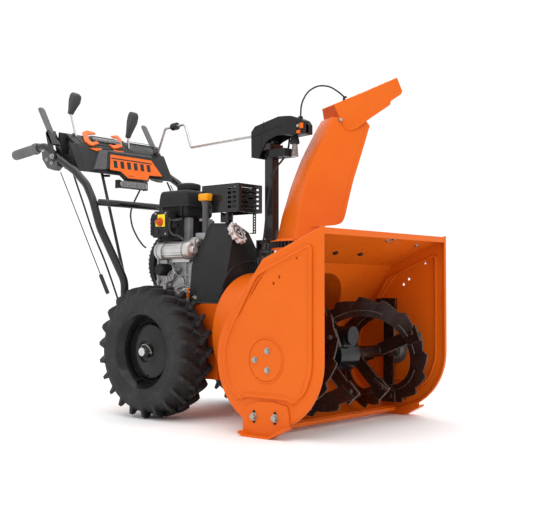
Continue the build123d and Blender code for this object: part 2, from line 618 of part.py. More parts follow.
def crankshaft():
    """Engine output shaft with the auger belt's drive pulley."""
    rim = revolve(pulley_section(ENGINE_PULLEY_R, 20), Axis.Z)
    return rod_y(0, CRANK_Z, CRANKSHAFT_R, 556, 690) + Pos(0, BELT_Y, CRANK_Z) * Rot(90, 0, 0) * rim


def drive_belt():
    """V-belt round both pulleys, riding just clear in their grooves."""
    gap = 0.4
    small, large = ENGINE_PULLEY_R - GROOVE_DEPTH + gap, IMPELLER_PULLEY_R - GROOVE_DEPTH + gap

    def loop(extra):
        circles = Pos(0, CRANK_Z) * Circle(small + extra) + Pos(0, IMPELLER_Z) * Circle(large + extra)
        span = CRANK_Z - IMPELLER_Z
        lean = asin_ratio((large - small) / span)
        left = [(-(r + extra) * cos(lean), z + (r + extra) * sin(lean))
                for r, z in ((large, IMPELLER_Z), (small, CRANK_Z))]
        right = [(-x, z) for x, z in reversed(left)]
        return circles + outline(*left, *right)

    return slab_y(loop(BELT_THICK) - loop(0), BELT_Y - BELT_WIDTH / 2, BELT_Y + BELT_WIDTH / 2)


def asin_ratio(value):
    return atan2(value, sqrt(1 - value * value))


def cover_section(left, left_front, right_front, right, front, shoulder, rear):
    """Plan of the belt cover: flat front, slanted sides, and short straight walls at the rear."""
    return outline((left, rear), (left, shoulder), (left_front, front), (right_front, front),
                   (right, shoulder), (right, rear))


def belt_cover():
    """The faceted moulded cover over the belt, open behind and below."""
    def stack(wall):
        levels = [(FRAME_Z1, -150, -124, 92, 150, 508, 582, 612), (452, -140, -92, 74, 134, 508, 584, 612),
                  (553, -90, -60, 8, 66, 516, 584, 598), (580 - wall, -74, -50, -4, 44, 558, 588, 596)]
        rings = []
        for z, left, left_front, right_front, right, front, shoulder, rear in levels:
            section = cover_section(left + wall, left_front, right_front, right - wall, front + wall,
                                    shoulder, rear)
            rings.append(Pos(0, 0, z) * section)
        shell = Part()
        for low, high in zip(rings, rings[1:]):
            shell += loft([low, high], ruled=True)
        return shell

    return stack(0) - stack(3) - box(-60, 60, 606, 613, 330, 520)


def muffler():
    """The pressed muffler box and the pipe that joins it to the cylinder head."""
    can = fillet(box(-48, 38, 508, 638, 622, 690).edges(), 10)
    pipe = tube([(24, 610, 632), (24, 610, 598), (84, 672, 560)], 12, [20])
    return can + pipe


def muffler_guard():
    """Slotted sheet guard round the muffler with its two mounting legs."""
    guard = box(-60, 50, 497, 648, 612, 698) - box(-57, 47, 500, 649, 615, 695)
    for i in range(5):
        z = 624 + 14 * i
        guard -= box(-46, 36, 490, 505, z, z + 8)
        guard -= box(-62, 52, 506, 520, z, z + 8)
        guard -= box(-62, 52, 526, 540, z, z + 8)
    for i in range(9):
        y = 508 + 14 * i
        guard -= box(-50, 40, y, y + 8, 690, 700)
    guard -= box(-50, 40, 508, 649, 611, 616)
    legs = box(-52, -20, 574, 577, 583, 613) + box(8, 22, 497, 500, 548, 614) + box(8, 22, 500, 512, 548, 551)
    return guard + legs


# ---------------------------------------------------------------- wheels
def tyre():
    """The +X tyre: carcass with deep angled lugs, bored for the rim."""
    profile = outline((TYRE_INNER_X, 112), (TYRE_INNER_X, 150), (TYRE_INNER_X + 10, 172),
                      (TYRE_INNER_X + 26, 178), (TYRE_OUTER_X - 26, 178), (TYRE_OUTER_X - 10, 172),
                      (TYRE_OUTER_X, 150), (TYRE_OUTER_X, 112), (TYRE_OUTER_X - 8, RIM_R),
                      (TYRE_INNER_X + 8, RIM_R))
    carcass = revolve(Plane.XY * profile, Axis.X)
    lugs = []
    count = 20
    middle = (TYRE_INNER_X + TYRE_OUTER_X) / 2
    for i in range(count):
        for side in (-1, 1):
            lug = Pos(side * 29, 0, 0) * Rot(0, 0, side * 28) * Box(66, 17, 30)
            lugs.append(Pos(middle, 0, 0) * Rot(360 * (i + 0.25 * side) / count, 0, 0) * Pos(0, 0, 181) * lug)
    tread = Part() + lugs
    crown = outline((TYRE_INNER_X, 100), (TYRE_INNER_X, 168), (TYRE_INNER_X + 16, WHEEL_R),
                    (TYRE_OUTER_X - 16, WHEEL_R), (TYRE_OUTER_X, 168), (TYRE_OUTER_X, 100))
    limit = revolve(Plane.XY * crown, Axis.X)
    return Pos(0, WHEEL_Y, WHEEL_Z) * (carcass + (tread & limit))


def rim():
    """The +X wheel rim: stepped barrel, dished disc and hub tube."""
    x0, x1 = TYRE_INNER_X, TYRE_OUTER_X
    barrel = outline((x0 + 8, RIM_R), (x0 + 11, RIM_R), (x0 + 16, 92), (x0 + 32, 88), (x1 - 32, 88),
                     (x1 - 16, 92), (x1 - 11, RIM_R), (x1 - 8, RIM_R), (x1 - 8, RIM_R - 3), (x1 - 13, 89),
                     (x1 - 30, 85), (x0 + 30, 85), (x0 + 13, 89), (x0 + 8, RIM_R - 3))
    disc = outline((212, 0), (212, 40), (226, 60), (232, 86), (236, 86), (231, 58), (217, 36), (217, 0))
    hub = rod_x(0, 0, 24, 160, 262)
    body = revolve(barrel, Axis.X) + revolve(disc, Axis.X) + hub - rod_x(0, 0, AXLE_R, 100, 300)
    return Pos(0, WHEEL_Y, WHEEL_Z) * body


# ---------------------------------------------------------------- chute
def chute_place(shape):
    """From the chute's own frame (x along the throw, y across, z up) to the machine at rest."""
    return Pos(CHUTE_X, CHUTE_Y, 0) * Rot(0, 0, -CHUTE_REST_TURN) * shape


def chute_profile(wall):
    """Side outline of the chute: curved back, top edge, front edge and closed foot."""
    back = Spline(*[(s + wall, z) for s, z in BACK])
    top = Polyline((BACK[-1][0] + wall, BACK[-1][1]), *FRONT, (70, 521), (BACK[0][0] + wall, 521))
    return make_face(Curve() + [back, top])


def slab_across(sketch, half):
    """An (s, z) sketch made solid across the chute."""
    return extrude(Plane.XZ * sketch, amount=half, both=True)


def chute():
    """The folded chute: U channel, round foot, bolt flange and the deflector's pivot studs."""
    inner_half = CHUTE_HALF - SHEET
    channel = slab_across(chute_profile(0), CHUTE_HALF)
    inner_back = [(s + SHEET, z) for s, z in BACK]
    open_front = Polyline(inner_back[-1], (120, 960), (260, 960), (260, 500), (BACK[0][0] + SHEET, 500),
                          inner_back[0])
    inside = make_face(Curve() + [Spline(*inner_back), open_front])
    channel -= slab_across(inside, inner_half)
    channel -= box(0, 300, -CHUTE_HALF - 1, CHUTE_HALF + 1, 500, 566) - rod_z(0, 0, CHUTE_HALF, 500, 566)
    foot = rod_z(0, 0, CHUTE_HALF, 521, 566) - rod_z(0, 0, inner_half, 520, 567)
    foot -= box(-100, 0, -100, 100, 510, 570)
    flange = rod_z(0, 0, 90, RING_Z1, 521) - rod_z(0, 0, NECK_R - SHEET, 510, 530)
    body = channel + foot + flange
    for side in (-1, 1):
        stud = Rot(90, 0, 0) * Cylinder(STUD_R, 7)
        body += Pos(HINGE[0], side * (CHUTE_HALF + 3.5), HINGE[1]) * stud
    return chute_place(body.solids().sort_by(SortBy.VOLUME)[-1])


def deflector():
    """The deflector cap: an upside-down channel that tilts on the chute's studs."""
    side_outline = outline((71, 925), (282, 1016), (299, 979), (295, 968), (259, 944), (257, 933),
                           (178, 880), (146, 856), (126, 848), (106, 852), (96, 866))
    cap = slab_across(side_outline, CHUTE_HALF + 4.5)
    rise = 91 / 211
    inside = outline((60, 925 - 11 * rise - 3.3), (310, 1016 + 28 * rise - 3.3), (310, 800), (60, 800))
    cap -= slab_across(inside, CHUTE_HALF + 1.5)
    cap -= Pos(HINGE[0], 0, HINGE[1]) * Rot(90, 0, 0) * Cylinder(STUD_R + RUNNING, 200)
    return chute_place(cap)


def ring_gear():
    """Toothed ring under the chute, turning on the housing's neck."""
    ring = extrude(gear_sketch(RING_TEETH, GEAR_MODULE), amount=RING_Z1 - RING_Z0)
    return chute_place(Pos(0, 0, RING_Z0) * Rot(0, 0, ring_phase()) * ring
                       - rod_z(0, 0, NECK_R + RUNNING, 490, 530))


def ring_phase():
    """Turns the ring so that a tooth points straight back at the pinion at rest."""
    pitch = 360 / RING_TEETH
    return (90 + CHUTE_REST_TURN) % pitch


def deflector_cable():
    """The bowden loop from the control head to the deflector."""
    points = [(0, 0, 893), (2, 0, 930), (22, 0, 968), (58, 0, 990), (98, 0, 990), (130, 0, 973),
              (146, 0, 961)]
    return chute_place(tube(points, DEFLECTOR_CABLE_R, cable_radii("deflector cable", points)))


# ---------------------------------------------------------------- chute control
def chute_post():
    """Square post with its foot bracket, shaft bearings and the head's bearing block."""
    y0, y1 = POST_Y - POST_HALF, POST_Y + POST_HALF
    post = box(CHUTE_X - POST_HALF, CHUTE_X + POST_HALF, y0, y1, 528, POST_TOP)
    post -= box(CHUTE_X - 12, CHUTE_X + 12, y0 + 3, y1 - 3, 520, POST_TOP + 1)
    back = box(CHUTE_X - 32, CHUTE_X + 32, 480, 485, 400, 528)
    shelf = box(CHUTE_X - 32, CHUTE_X + 32, y0, 485, 522, 528)
    foot = box(CHUTE_X - 32, CHUTE_X + 32, y0 + 12, 485, 482, 488)
    block = box(CHUTE_X - 31, CHUTE_X + 31, y0 - 4, y1 + 4, POST_TOP, POST_TOP + 18)
    post = post + back + shelf + foot + block
    post -= rod_y(0, IMPELLER_Z, DRUM_R, 300, DRUM_BACK)
    return post - rod_z(CHUTE_X, POST_Y, 8 + RUNNING, 470, 830)


def pinion_shaft():
    """Vertical shaft in the post, with the chute pinion below and a bevel disc above."""
    pinion = extrude(gear_sketch(PINION_TEETH, GEAR_MODULE), amount=RING_Z1 - RING_Z0)
    # the pinion shows a tooth gap to the ring, straight in front of it
    turn = -90 + 180 / PINION_TEETH
    body = rod_z(CHUTE_X, POST_Y, 8, 476, 836) + Pos(CHUTE_X, POST_Y, RING_Z0) * Rot(0, 0, turn) * pinion
    bevel = Pos(CHUTE_X, POST_Y, 829) * Cone(19, 13, 10)
    return body + bevel


def head_cover():
    """The moulded hood over the post's head, with the nose that reaches over the chute's axis."""
    side = outline((300, 836), (402, 838), (430, 830), (446, 822), (474, 776), (502, 780), (503, 858),
                   (488, 874), (396, 894), (352, 892), (318, 878), (304, 862))
    hood = slab_x(side, CHUTE_X - 35, CHUTE_X + 35)
    plan = outline((CHUTE_X - 35, 504), (CHUTE_X - 35, 372), (CHUTE_X - 15, 305), (CHUTE_X + 15, 305),
                   (CHUTE_X + 35, 372), (CHUTE_X + 35, 504))
    hood &= slab_z(plan, 700, 950)
    hollow = outline((380, 842), (404, 841), (434, 833), (450, 824), (470, 770), (500, 770), (500, 856),
                     (486, 871), (397, 890), (380, 889))
    hood -= slab_x(hollow, CHUTE_X - 32, CHUTE_X + 32)
    under = outline((376, 800), (376, 842), (404, 842), (434, 834), (452, 824), (474, 790), (474, 776))
    hood -= slab_x(under, CHUTE_X - 32, CHUTE_X + 32)
    hood -= rod_y(CRANK_FRONT[0], CRANK_FRONT[2], 9, 490, 510)
    swivel = rod_z(CHUTE_X, CHUTE_Y, 7, 885, 892)
    return hood + swivel


def crank_direction():
    return (Vector(*CRANK_REAR) - Vector(*CRANK_FRONT)).normalized()


def crank_points():
    """The crank rod's route: shaft, throw, handle stretch, throw and tail."""
    front, along = Vector(*CRANK_FRONT), crank_direction()
    up = Vector(0, 0, 1)
    up = (up - along * up.dot(along)).normalized()
    length = (Vector(*CRANK_REAR) - front).length
    inside = front - along * 28
    stations = [(inside, 0), (front + along * 390, 0), (front + along * 434, 84), (front + along * 562, 84),
                (front + along * 612, 0), (front + along * length, 0)]
    return [tuple(p + up * lift) for p, lift in stations]


def crank_rod():
    """Bent steel crank with a bevel disc on its front end."""
    points = crank_points()
    rod = tube(points, 5, 14)
    place = Plane(origin=points[0], z_dir=crank_direction())
    return rod + place * Pos(0, 0, 4) * Cone(14, 9, 8)


def crank_grip():
    """Flared handle that turns freely on the crank's throw."""
    points = crank_points()
    start, stop = Vector(*points[2]), Vector(*points[3])
    place = Plane(origin=start + (stop - start) * 0.5, z_dir=crank_direction())
    half = 54
    profile = Plane.XZ * outline((5.1, -half), (17, -half), (18, -half + 6), (11, -half + 16), (12.5, 0),
                                 (11, half - 16), (18, half - 6), (17, half), (5.1, half))
    return place * revolve(profile, Axis.Z)


# ---------------------------------------------------------------- handlebars and dash
def handlebar():
    """The +X handlebar tube, from its grip down to the frame."""
    bar = tube(BAR_ROUTE, BAR_R, BAR_RADII, bore=BAR_R - BAR_WALL)
    for y, z in BAR_BOLTS:
        bar -= rod_x(y, z, 4 + CLEAR, 130, 180)
    return bar - rod_x(*LEVER_PIVOT, 4 + CLEAR, 200, 260)


def grip():
    """Moulded sleeve over the end of a handlebar."""
    end, start = Vector(*BAR_ROUTE[0]), Vector(*BAR_ROUTE[1])
    along = (start - end).normalized()
    place = Plane(origin=end - along * 4, z_dir=along)
    sleeve = place * Pos(0, 0, 67) * Cylinder(17, 134)
    sleeve = fillet(sleeve.edges(), 4)
    return sleeve - place * Pos(0, 0, 72) * Cylinder(BAR_R, 136)


def lever_housing():
    """Pivot casting clamped under the +X handlebar."""
    side = outline((1136, 806), (1162, 822), (1196, 842), (1216, 836), (1212, 812), (1184, 780),
                   (1150, 770), (1132, 782))
    block = slab_x(side, BAR_X - 12, BAR_X + 12)
    block = fillet(block.edges().filter_by(Axis.X), 5)
    block -= tube(BAR_ROUTE, BAR_R, BAR_RADII)
    solid = block.solids().sort_by(SortBy.VOLUME)[-1]
    return solid - rod_x(*LEVER_PIVOT, 4 + CLEAR, 200, 260)


def hand_lever():
    """The +X hand lever: two cheeks astride the tube, a bridge and a flat grip."""
    y, z = LEVER_PIVOT
    lean = radians(58)

    def at(distance, off):
        """A side view point, distance along the lever from its pivot and off towards its front."""
        return y + cos(lean) * distance - sin(lean) * off, z + sin(lean) * distance + cos(lean) * off

    cheek = outline(at(-14, -10), at(-16, 6), at(-6, 13), at(50, 22), at(82, 22), at(74, 10), at(30, -6),
                    at(0, -13))
    bridge = outline(at(40, 13.5), at(40, 21), at(82, 22), at(82, 12.8))
    blade = outline(at(76, 12.5), at(76, 24), at(182, 24), at(190, 20), at(190, 16), at(182, 12.5))
    arm = slab_x(cheek, BAR_X - CHEEK_X1, BAR_X - CHEEK_X0)
    arm += slab_x(cheek, BAR_X + CHEEK_X0, BAR_X + CHEEK_X1)
    arm += slab_x(bridge, BAR_X - CHEEK_X1, BAR_X + CHEEK_X1) + slab_x(blade, BAR_X - 13, BAR_X + 13)
    return arm - rod_x(y, z, 4 + RUNNING, 200, 260)


def cross_brace():
    """The bent tube that ties the handlebars together."""
    x = BAR_X - BAR_R - 0.6
    points = [(-x, 950, 655), (-x + 14, 922, 652), (-x + 40, 905, 650), (x - 40, 905, 650),
              (x - 14, 922, 652), (x, 950, 655)]
    brace = tube(points, 11, [18, 24, 24, 18], bore=9)
    for side in (-1, 1):
        brace -= tube([(side * px, py, pz) for px, py, pz in BAR_ROUTE], BAR_R, BAR_RADII)
    return brace.solids().sort_by(SortBy.VOLUME)[-1]


def dash_console():
    """Moulded console between the handlebars, with lever slots, a side pocket and the crank's bush."""
    shell = slab_x(outline(*DASH_OUTLINE), -DASH_HALF, DASH_HALF)
    shell = fillet(shell.edges().filter_by(Axis.X), 6)
    shell -= slab_x(outline(*DASH_HOLLOW), -DASH_HALF + 3, DASH_HALF - 3)
    shell -= box(-DASH_HALF + 10, DASH_HALF - 10, 1080, 1126, 760, 790)
    for x in (SPEED_X, DEFLECTOR_X):
        shell -= box(x - 8, x + 8, 1108, 1162, 855, 910)
    place = Plane(origin=CRANK_REAR, z_dir=crank_direction())
    shell -= place * Cylinder(5 + 0.4, 60)
    for x in (SPEED_X, DEFLECTOR_X):
        hanger = box(x + 10, x + 14, 1108, 1142, 800, 830) + box(x + 10, x + 14, 1118, 1132, 776, 802)
        shell += hanger - rod_x(*DASH_PIVOT, 4 + RUNNING, x, x + 20)
    bracket = box(164, 186, 1108, 1112, 848, 880)
    shell += bracket - place * Cylinder(5 + 0.4, 60)
    for side in (-1, 1):
        ear = box(*sorted((side * DASH_HALF, side * (BAR_X - BAR_R - 0.5))), 1085, 1125, 785, 800)
        shell += ear
    return shell


def knob_lever(x, lean, rod_length, knob_size, bend):
    """A flat rod on a cross pin in the dash, with a moulded knob that bends forward of the rod."""
    width, height = knob_size
    rod = Pos(0, 0, rod_length / 2) * Box(5, 9, rod_length)
    knob = Pos(0, 0, height / 2) * Box(width, width * 1.05, height)
    knob = Pos(0, 0, rod_length - 12) * Rot(bend, 0, 0) * fillet(knob.edges(), width * 0.3)
    pin = Pos(5.5, 0, 0) * Rot(0, 90, 0) * Cylinder(4, 17)
    boss = Rot(0, 90, 0) * Cylinder(9, 6)
    return Pos(x, *DASH_PIVOT) * Rot(-lean, 0, 0) * (rod + knob + pin + boss)


def headlight():
    """Lamp bar hung in front of the dash on a bracket."""
    lamp = fillet(box(-62, 62, 1026, 1052, 721, 745).edges(), 4)
    bracket = box(-12, 12, 1044, 1050, 740, 764) + box(-12, 12, 1044, 1072, 762, 766)
    return lamp + bracket


# ---------------------------------------------------------------- cables and rods
def straight_rod(start, end, r):
    a, b = Vector(*start), Vector(*end)
    return Plane(origin=a, z_dir=b - a) * Pos(0, 0, (b - a).length / 2) * Cylinder(r, (b - a).length)


def control_linkage():
    """Bowden cables, the clutch rod with its spring, and the shift rod, each a separate solid."""
    routes = {"traction cable": TRACTION_CABLE, "auger cable": [(-x, y, z) for x, y, z in TRACTION_CABLE],
              "lamp cable": LAMP_CABLE, "chute cable": CHUTE_CABLE}
    solids = [tube(route, CABLE_R, cable_radii(name, route)) for name, route in routes.items()]
    for side in (-1, 1):
        wire = straight_rod((side * 246, 1108, 760), (side * 246, 880, 384), 1.6)
        spring = straight_rod((side * 246, 904, 423.6), (side * 246, 870, 367.5), 6)
        solids.append(wire + spring)
    solids.append(straight_rod((-92, 1092, 786), (-95, 897, 210), 5))
    return solids


# ---------------------------------------------------------------- fasteners
def hex_bolts():
    """Every static hexagon bolt: bearing plates, skid shoes, handlebar feet and hand lever pivots."""
    bolts = []
    for side in (-1, 1):
        for y, z in BEARING_BOLTS:
            bolts.append(hex_bolt(facing_x(side, HOUSING_HALF + FIELD_RISE + 2, y, z), 12, 4))
        for y, z in SKID_BOLTS:
            bolts.append(hex_bolt(facing_x(side, HOUSING_HALF + SKID_THICK, y, z), 9, 5))
        for y, z in BAR_BOLTS:
            bolts.append(hex_bolt(facing_x(side, BAR_FOOT_X + BAR_R, y, z), 34, 4))
        bolts.append(hex_bolt(facing_x(side, BAR_X + 17.3, *LEVER_PIVOT), 34.6, 4))
    return bolts


# ---------------------------------------------------------------- assembly
def build():
    add("housing_wrapper", wrapper())
    add("side_panel_left", side_panel())
    add("side_panel_right", mirror_x(side_panel()))
    add("impeller_housing", impeller_housing())
    add("scraper_bar", scraper_bar())
    add("skid_shoes", skid_shoe(), mirror_x(skid_shoe()))
    add("bearings", *bearings())
    add("auger_gearcase", gearcase())
    add("auger_shaft", auger_shaft(), *shear_pins())
    add("auger_left", auger_half())
    add("auger_right", Pos(0, 2 * AUGER_Y, 2 * AUGER_Z) * Rot(180, 0, 0) * mirror_x(auger_half()))
    add("impeller_shaft", impeller_shaft())
    add("impeller", impeller())
    add("tractor_frame", tractor_frame())
    add("frame_cover", frame_cover())
    add("drive_axle", drive_axle())
    add("friction_wheel", friction_wheel())
    add("friction_disc", friction_disc())
    add("engine_block", engine_block())
    add("fuel_tank", fuel_tank())
    add("fuel_cap", fuel_cap())
    add("recoil_housing", recoil_housing())
    add("recoil_grip", recoil_grip())
    add("starter_motor", starter_motor())
    add("control_box", control_box())
    add("choke_knob", choke_knob())
    add("start_button", start_button())
    add("oil_fill_tube", oil_fill_tube())
    add("dipstick", dipstick())
    add("crankshaft", crankshaft())
    add("drive_belt", drive_belt())
    add("belt_cover", belt_cover())
    add("muffler", muffler())
    add("muffler_guard", muffler_guard())
    add("tyre_left", tyre())
    add("tyre_right", mirror_x(tyre()))
    add("rim_left", rim())
    add("rim_right", mirror_x(rim()))
    add("chute", chute())
    add("chute_ring", ring_gear())
    add("deflector", deflector())
    add("deflector_cable", deflector_cable())
    add("chute_post", chute_post())
    add("chute_pinion", pinion_shaft())
    add("head_cover", head_cover())
    add("crank_rod", crank_rod())
    add("crank_grip", crank_grip())
    add("handlebar_left", handlebar())
    add("handlebar_right", mirror_x(handlebar()))
    add("handle_grips", grip(), mirror_x(grip()))
    add("lever_housings", lever_housing(), mirror_x(lever_housing()))
    add("auger_lever", hand_lever())
    add("traction_lever", mirror_x(hand_lever()))
    add("cross_brace", cross_brace())
    add("dash_console", dash_console())
    add("speed_lever", knob_lever(SPEED_X, 2, 114, (33, 90), 22))
    add("deflector_lever", knob_lever(DEFLECTOR_X, 19, 183, (35, 72), 44))
    add("headlight", headlight())
    add("control_linkage", *control_linkage())
    add("hex_bolts", *hex_bolts())


build()
os.makedirs("parts", exist_ok=True)
for name, shape in PARTS.items():
    export_step(shape, f"parts/{name}.step")
print(len(PARTS), "parts")
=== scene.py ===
import json
from math import atan2, cos, pi, radians, sin

import bmesh
import bpy
from mathutils import Matrix, Vector


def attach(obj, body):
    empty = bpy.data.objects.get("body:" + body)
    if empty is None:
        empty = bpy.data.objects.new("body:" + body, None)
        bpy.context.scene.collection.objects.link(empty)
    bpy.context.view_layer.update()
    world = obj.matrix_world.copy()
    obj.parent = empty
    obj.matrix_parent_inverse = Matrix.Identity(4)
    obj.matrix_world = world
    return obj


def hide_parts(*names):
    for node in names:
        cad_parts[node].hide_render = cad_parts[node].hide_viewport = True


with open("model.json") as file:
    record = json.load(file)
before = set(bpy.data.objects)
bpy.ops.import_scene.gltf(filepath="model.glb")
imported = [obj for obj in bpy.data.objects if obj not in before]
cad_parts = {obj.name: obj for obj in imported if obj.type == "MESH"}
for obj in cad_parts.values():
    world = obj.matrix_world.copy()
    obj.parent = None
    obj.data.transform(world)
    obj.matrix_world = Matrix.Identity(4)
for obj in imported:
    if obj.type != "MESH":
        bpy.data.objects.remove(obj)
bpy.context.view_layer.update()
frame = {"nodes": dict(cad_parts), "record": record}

# Looks of a two stage snow blower. Places in this file are millimetres: x across, y back from the auger
# housing's front edge, z up from the ground. to_frame() turns them into the frame's metres.
MM = 0.001
FRONT_EDGE_SHIFT = -691.0     # from the housing's front edge to the frame's origin, along y
AUGER_CENTRE = AUGER_Y, AUGER_Z = 176.0, 197.0
WHEEL_CENTRE = WHEEL_Y, WHEEL_Z = 686.0, 196.0
CRANK_Z = 460.0               # height of the engine's crankshaft
BAR_X = 230.0                 # from the middle to either handlebar
LEVER_PIVOT = (1151.0, 816.0)

CAMERA_PLACE = (-2.1732, -2.1147, 0.3753)    # metres, in the frame
CAMERA_HEADING, CAMERA_RISE = 49.94, 1.89    # degrees, from +y towards +x and up from level
LENS, SENSOR = 62.69, 36                     # millimetres


# ---------------------------------------------------------------- camera, stage and light
def aim(thing, target):
    direction = Vector(target) - thing.location
    thing.rotation_euler = direction.to_track_quat("-Z", "Y").to_euler()


def make_camera():
    heading, rise = radians(CAMERA_HEADING), radians(CAMERA_RISE)
    lens = bpy.data.cameras.new("camera")
    lens.lens, lens.sensor_width = LENS, SENSOR
    eye = bpy.data.objects.new("camera", lens)
    bpy.context.scene.collection.objects.link(eye)
    eye.location = CAMERA_PLACE
    aim(eye, eye.location + Vector((sin(heading) * cos(rise), cos(heading) * cos(rise), sin(rise))))
    bpy.context.scene.camera = eye


def soft_light(name, place, target, size, watts, colour=(1, 1, 1)):
    lamp = bpy.data.lights.new(name, "AREA")
    lamp.shape, lamp.size, lamp.size_y = "RECTANGLE", size[0], size[1]
    lamp.energy, lamp.color = watts, colour
    holder = bpy.data.objects.new(name, lamp)
    bpy.context.scene.collection.objects.link(holder)
    holder.location = place
    aim(holder, target)


def make_stage():
    floor_mesh = bpy.data.meshes.new("floor")
    far = 30.0
    floor_mesh.from_pydata([(-far, -far, 0), (far, -far, 0), (far, far, 0), (-far, far, 0)], [],
                           [(0, 1, 2, 3)])
    floor = bpy.data.objects.new("floor", floor_mesh)
    bpy.context.scene.collection.objects.link(floor)
    floor_mesh.materials.append(finish("pale_floor", (0.965, 0.965, 0.965), tint=(0.955, 0.955, 0.955),
                                       rough=(0.6, 0.7), grain=(60, 0.02), shine=0.1))
    world = bpy.data.worlds.new("studio")
    world.use_nodes = True
    world.node_tree.nodes["Background"].inputs["Color"].default_value = (1, 1, 1, 1)
    world.node_tree.nodes["Background"].inputs["Strength"].default_value = 1.06
    bpy.context.scene.world = world
    bpy.context.scene.view_settings.view_transform = "Standard"
    soft_light("key", (-2.6, -1.2, 3.0), (0, 0, 0.4), (1.6, 1.6), 16)
    soft_light("front", (-0.6, -3.6, 1.6), (0, -0.3, 0.4), (2.0, 1.4), 5)
    soft_light("top", (0.2, 0.0, 4.2), (0, 0, 0), (5.0, 5.0), 70)
    soft_light("back", (2.6, 2.2, 2.2), (0, 0, 0.5), (1.6, 1.6), 8)


# ---------------------------------------------------------------- materials
def finish(name, colour, tint=None, tint_scale=9.0, metal=0.0, rough=(0.35, 0.5), rough_scale=40.0,
           grain=(500, 0.1), grain_stretch=(1, 1, 1), shine=0.2, coat=0.0, coat_rough=0.08, edge=None,
           edge_width=1.2, spots=None):
    """A procedural material. tint is what colour wanders to, grain is (scale, strength) of the bump, edge is
    (colour, amount) along edges as partly wear and partly painted highlight, spots is (colour, scale, amount)
    of dust or splashes."""
    made = bpy.data.materials.new(name)
    made.use_nodes = True
    tree = made.node_tree
    shader = tree.nodes["Principled BSDF"]

    def node(kind, **values):
        n = tree.nodes.new(kind)
        for key, value in values.items():
            if hasattr(n, key):
                setattr(n, key, value)
            else:
                n.inputs[key.replace("_", " ")].default_value = value
        return n

    def link(a, out, b, into):
        tree.links.new(a.outputs[out], b.inputs[into])

    def ranged(source, low, high, to=(0.0, 1.0)):
        """What source gives between low and high, spread over another range."""
        n = node("ShaderNodeMapRange")
        n.inputs["From Min"].default_value, n.inputs["From Max"].default_value = low, high
        n.inputs["To Min"].default_value, n.inputs["To Max"].default_value = to
        link(*source, n, "Value")
        return n

    def laid_over(under, over_colour, amount):
        over = node("ShaderNodeMix", data_type="RGBA")
        over.inputs["B"].default_value = (*over_colour, 1)
        link(amount, "Result", over, "Factor")
        link(under, "Result", over, "A")
        return over

    def noise(place, out, scale, detail, roughness):
        n = node("ShaderNodeTexNoise", Scale=float(scale), Detail=detail, Roughness=roughness)
        link(place, out, n, "Vector")
        return n, "Fac"

    place = node("ShaderNodeTexCoord")
    stretch = node("ShaderNodeMapping")
    stretch.inputs["Scale"].default_value = grain_stretch
    link(place, "Object", stretch, "Vector")

    wander = noise(place, "Object", tint_scale, 4.0, 0.6)
    shown = node("ShaderNodeMix", data_type="RGBA")
    shown.inputs["A"].default_value = (*colour, 1)
    shown.inputs["B"].default_value = (*(tint or [c * 0.86 for c in colour]), 1)
    link(ranged(wander, 0.35, 0.75), "Result", shown, "Factor")
    if spots:
        spot_colour, spot_scale, amount = spots
        dots = noise(place, "Object", spot_scale, 3.0, 0.7)
        shown = laid_over(shown, spot_colour, ranged(dots, 0.56, 0.74, (0.0, amount)))

    rounding = node("ShaderNodeBevel", samples=4)
    rounding.inputs["Radius"].default_value = edge_width * MM
    # Along edges, where the rounded normal turns from the surface's, the colour moves to a lighter one:
    # partly wear and partly painted highlight.
    if edge:
        wear_and_highlight_colour, amount = edge
        surface = node("ShaderNodeNewGeometry")
        match = node("ShaderNodeVectorMath", operation="DOT_PRODUCT")
        link(rounding, "Normal", match, 0)
        link(surface, "Normal", match, 1)
        shown = laid_over(shown, wear_and_highlight_colour, ranged((match, "Value"), 0.995, 0.86, (0.0, amount)))

    gloss = ranged(noise(stretch, "Vector", rough_scale, 3.0, 0.55), 0.3, 0.7, rough)
    bumps = noise(stretch, "Vector", grain[0], 4.0, 0.6)
    relief = node("ShaderNodeBump")
    relief.inputs["Strength"].default_value = grain[1]
    relief.inputs["Distance"].default_value = 0.6 * MM
    link(*bumps, relief, "Height")
    link(rounding, "Normal", relief, "Normal")

    link(shown, "Result", shader, "Base Color")
    link(gloss, "Result", shader, "Roughness")
    link(relief, "Normal", shader, "Normal")
    shader.inputs["Metallic"].default_value = metal
    shader.inputs["Specular IOR Level"].default_value = shine
    shader.inputs["Coat Weight"].default_value = coat
    shader.inputs["Coat Roughness"].default_value = coat_rough
    return made


ORANGE = (0.72, 0.128, 0.007)
# A paler orange laid along the orange finishes' edges: partly wear and partly painted highlight.
ORANGE_EDGE_WEAR_AND_HIGHLIGHT = (0.92, 0.24, 0.03)


def grey(level):
    return level, level, level


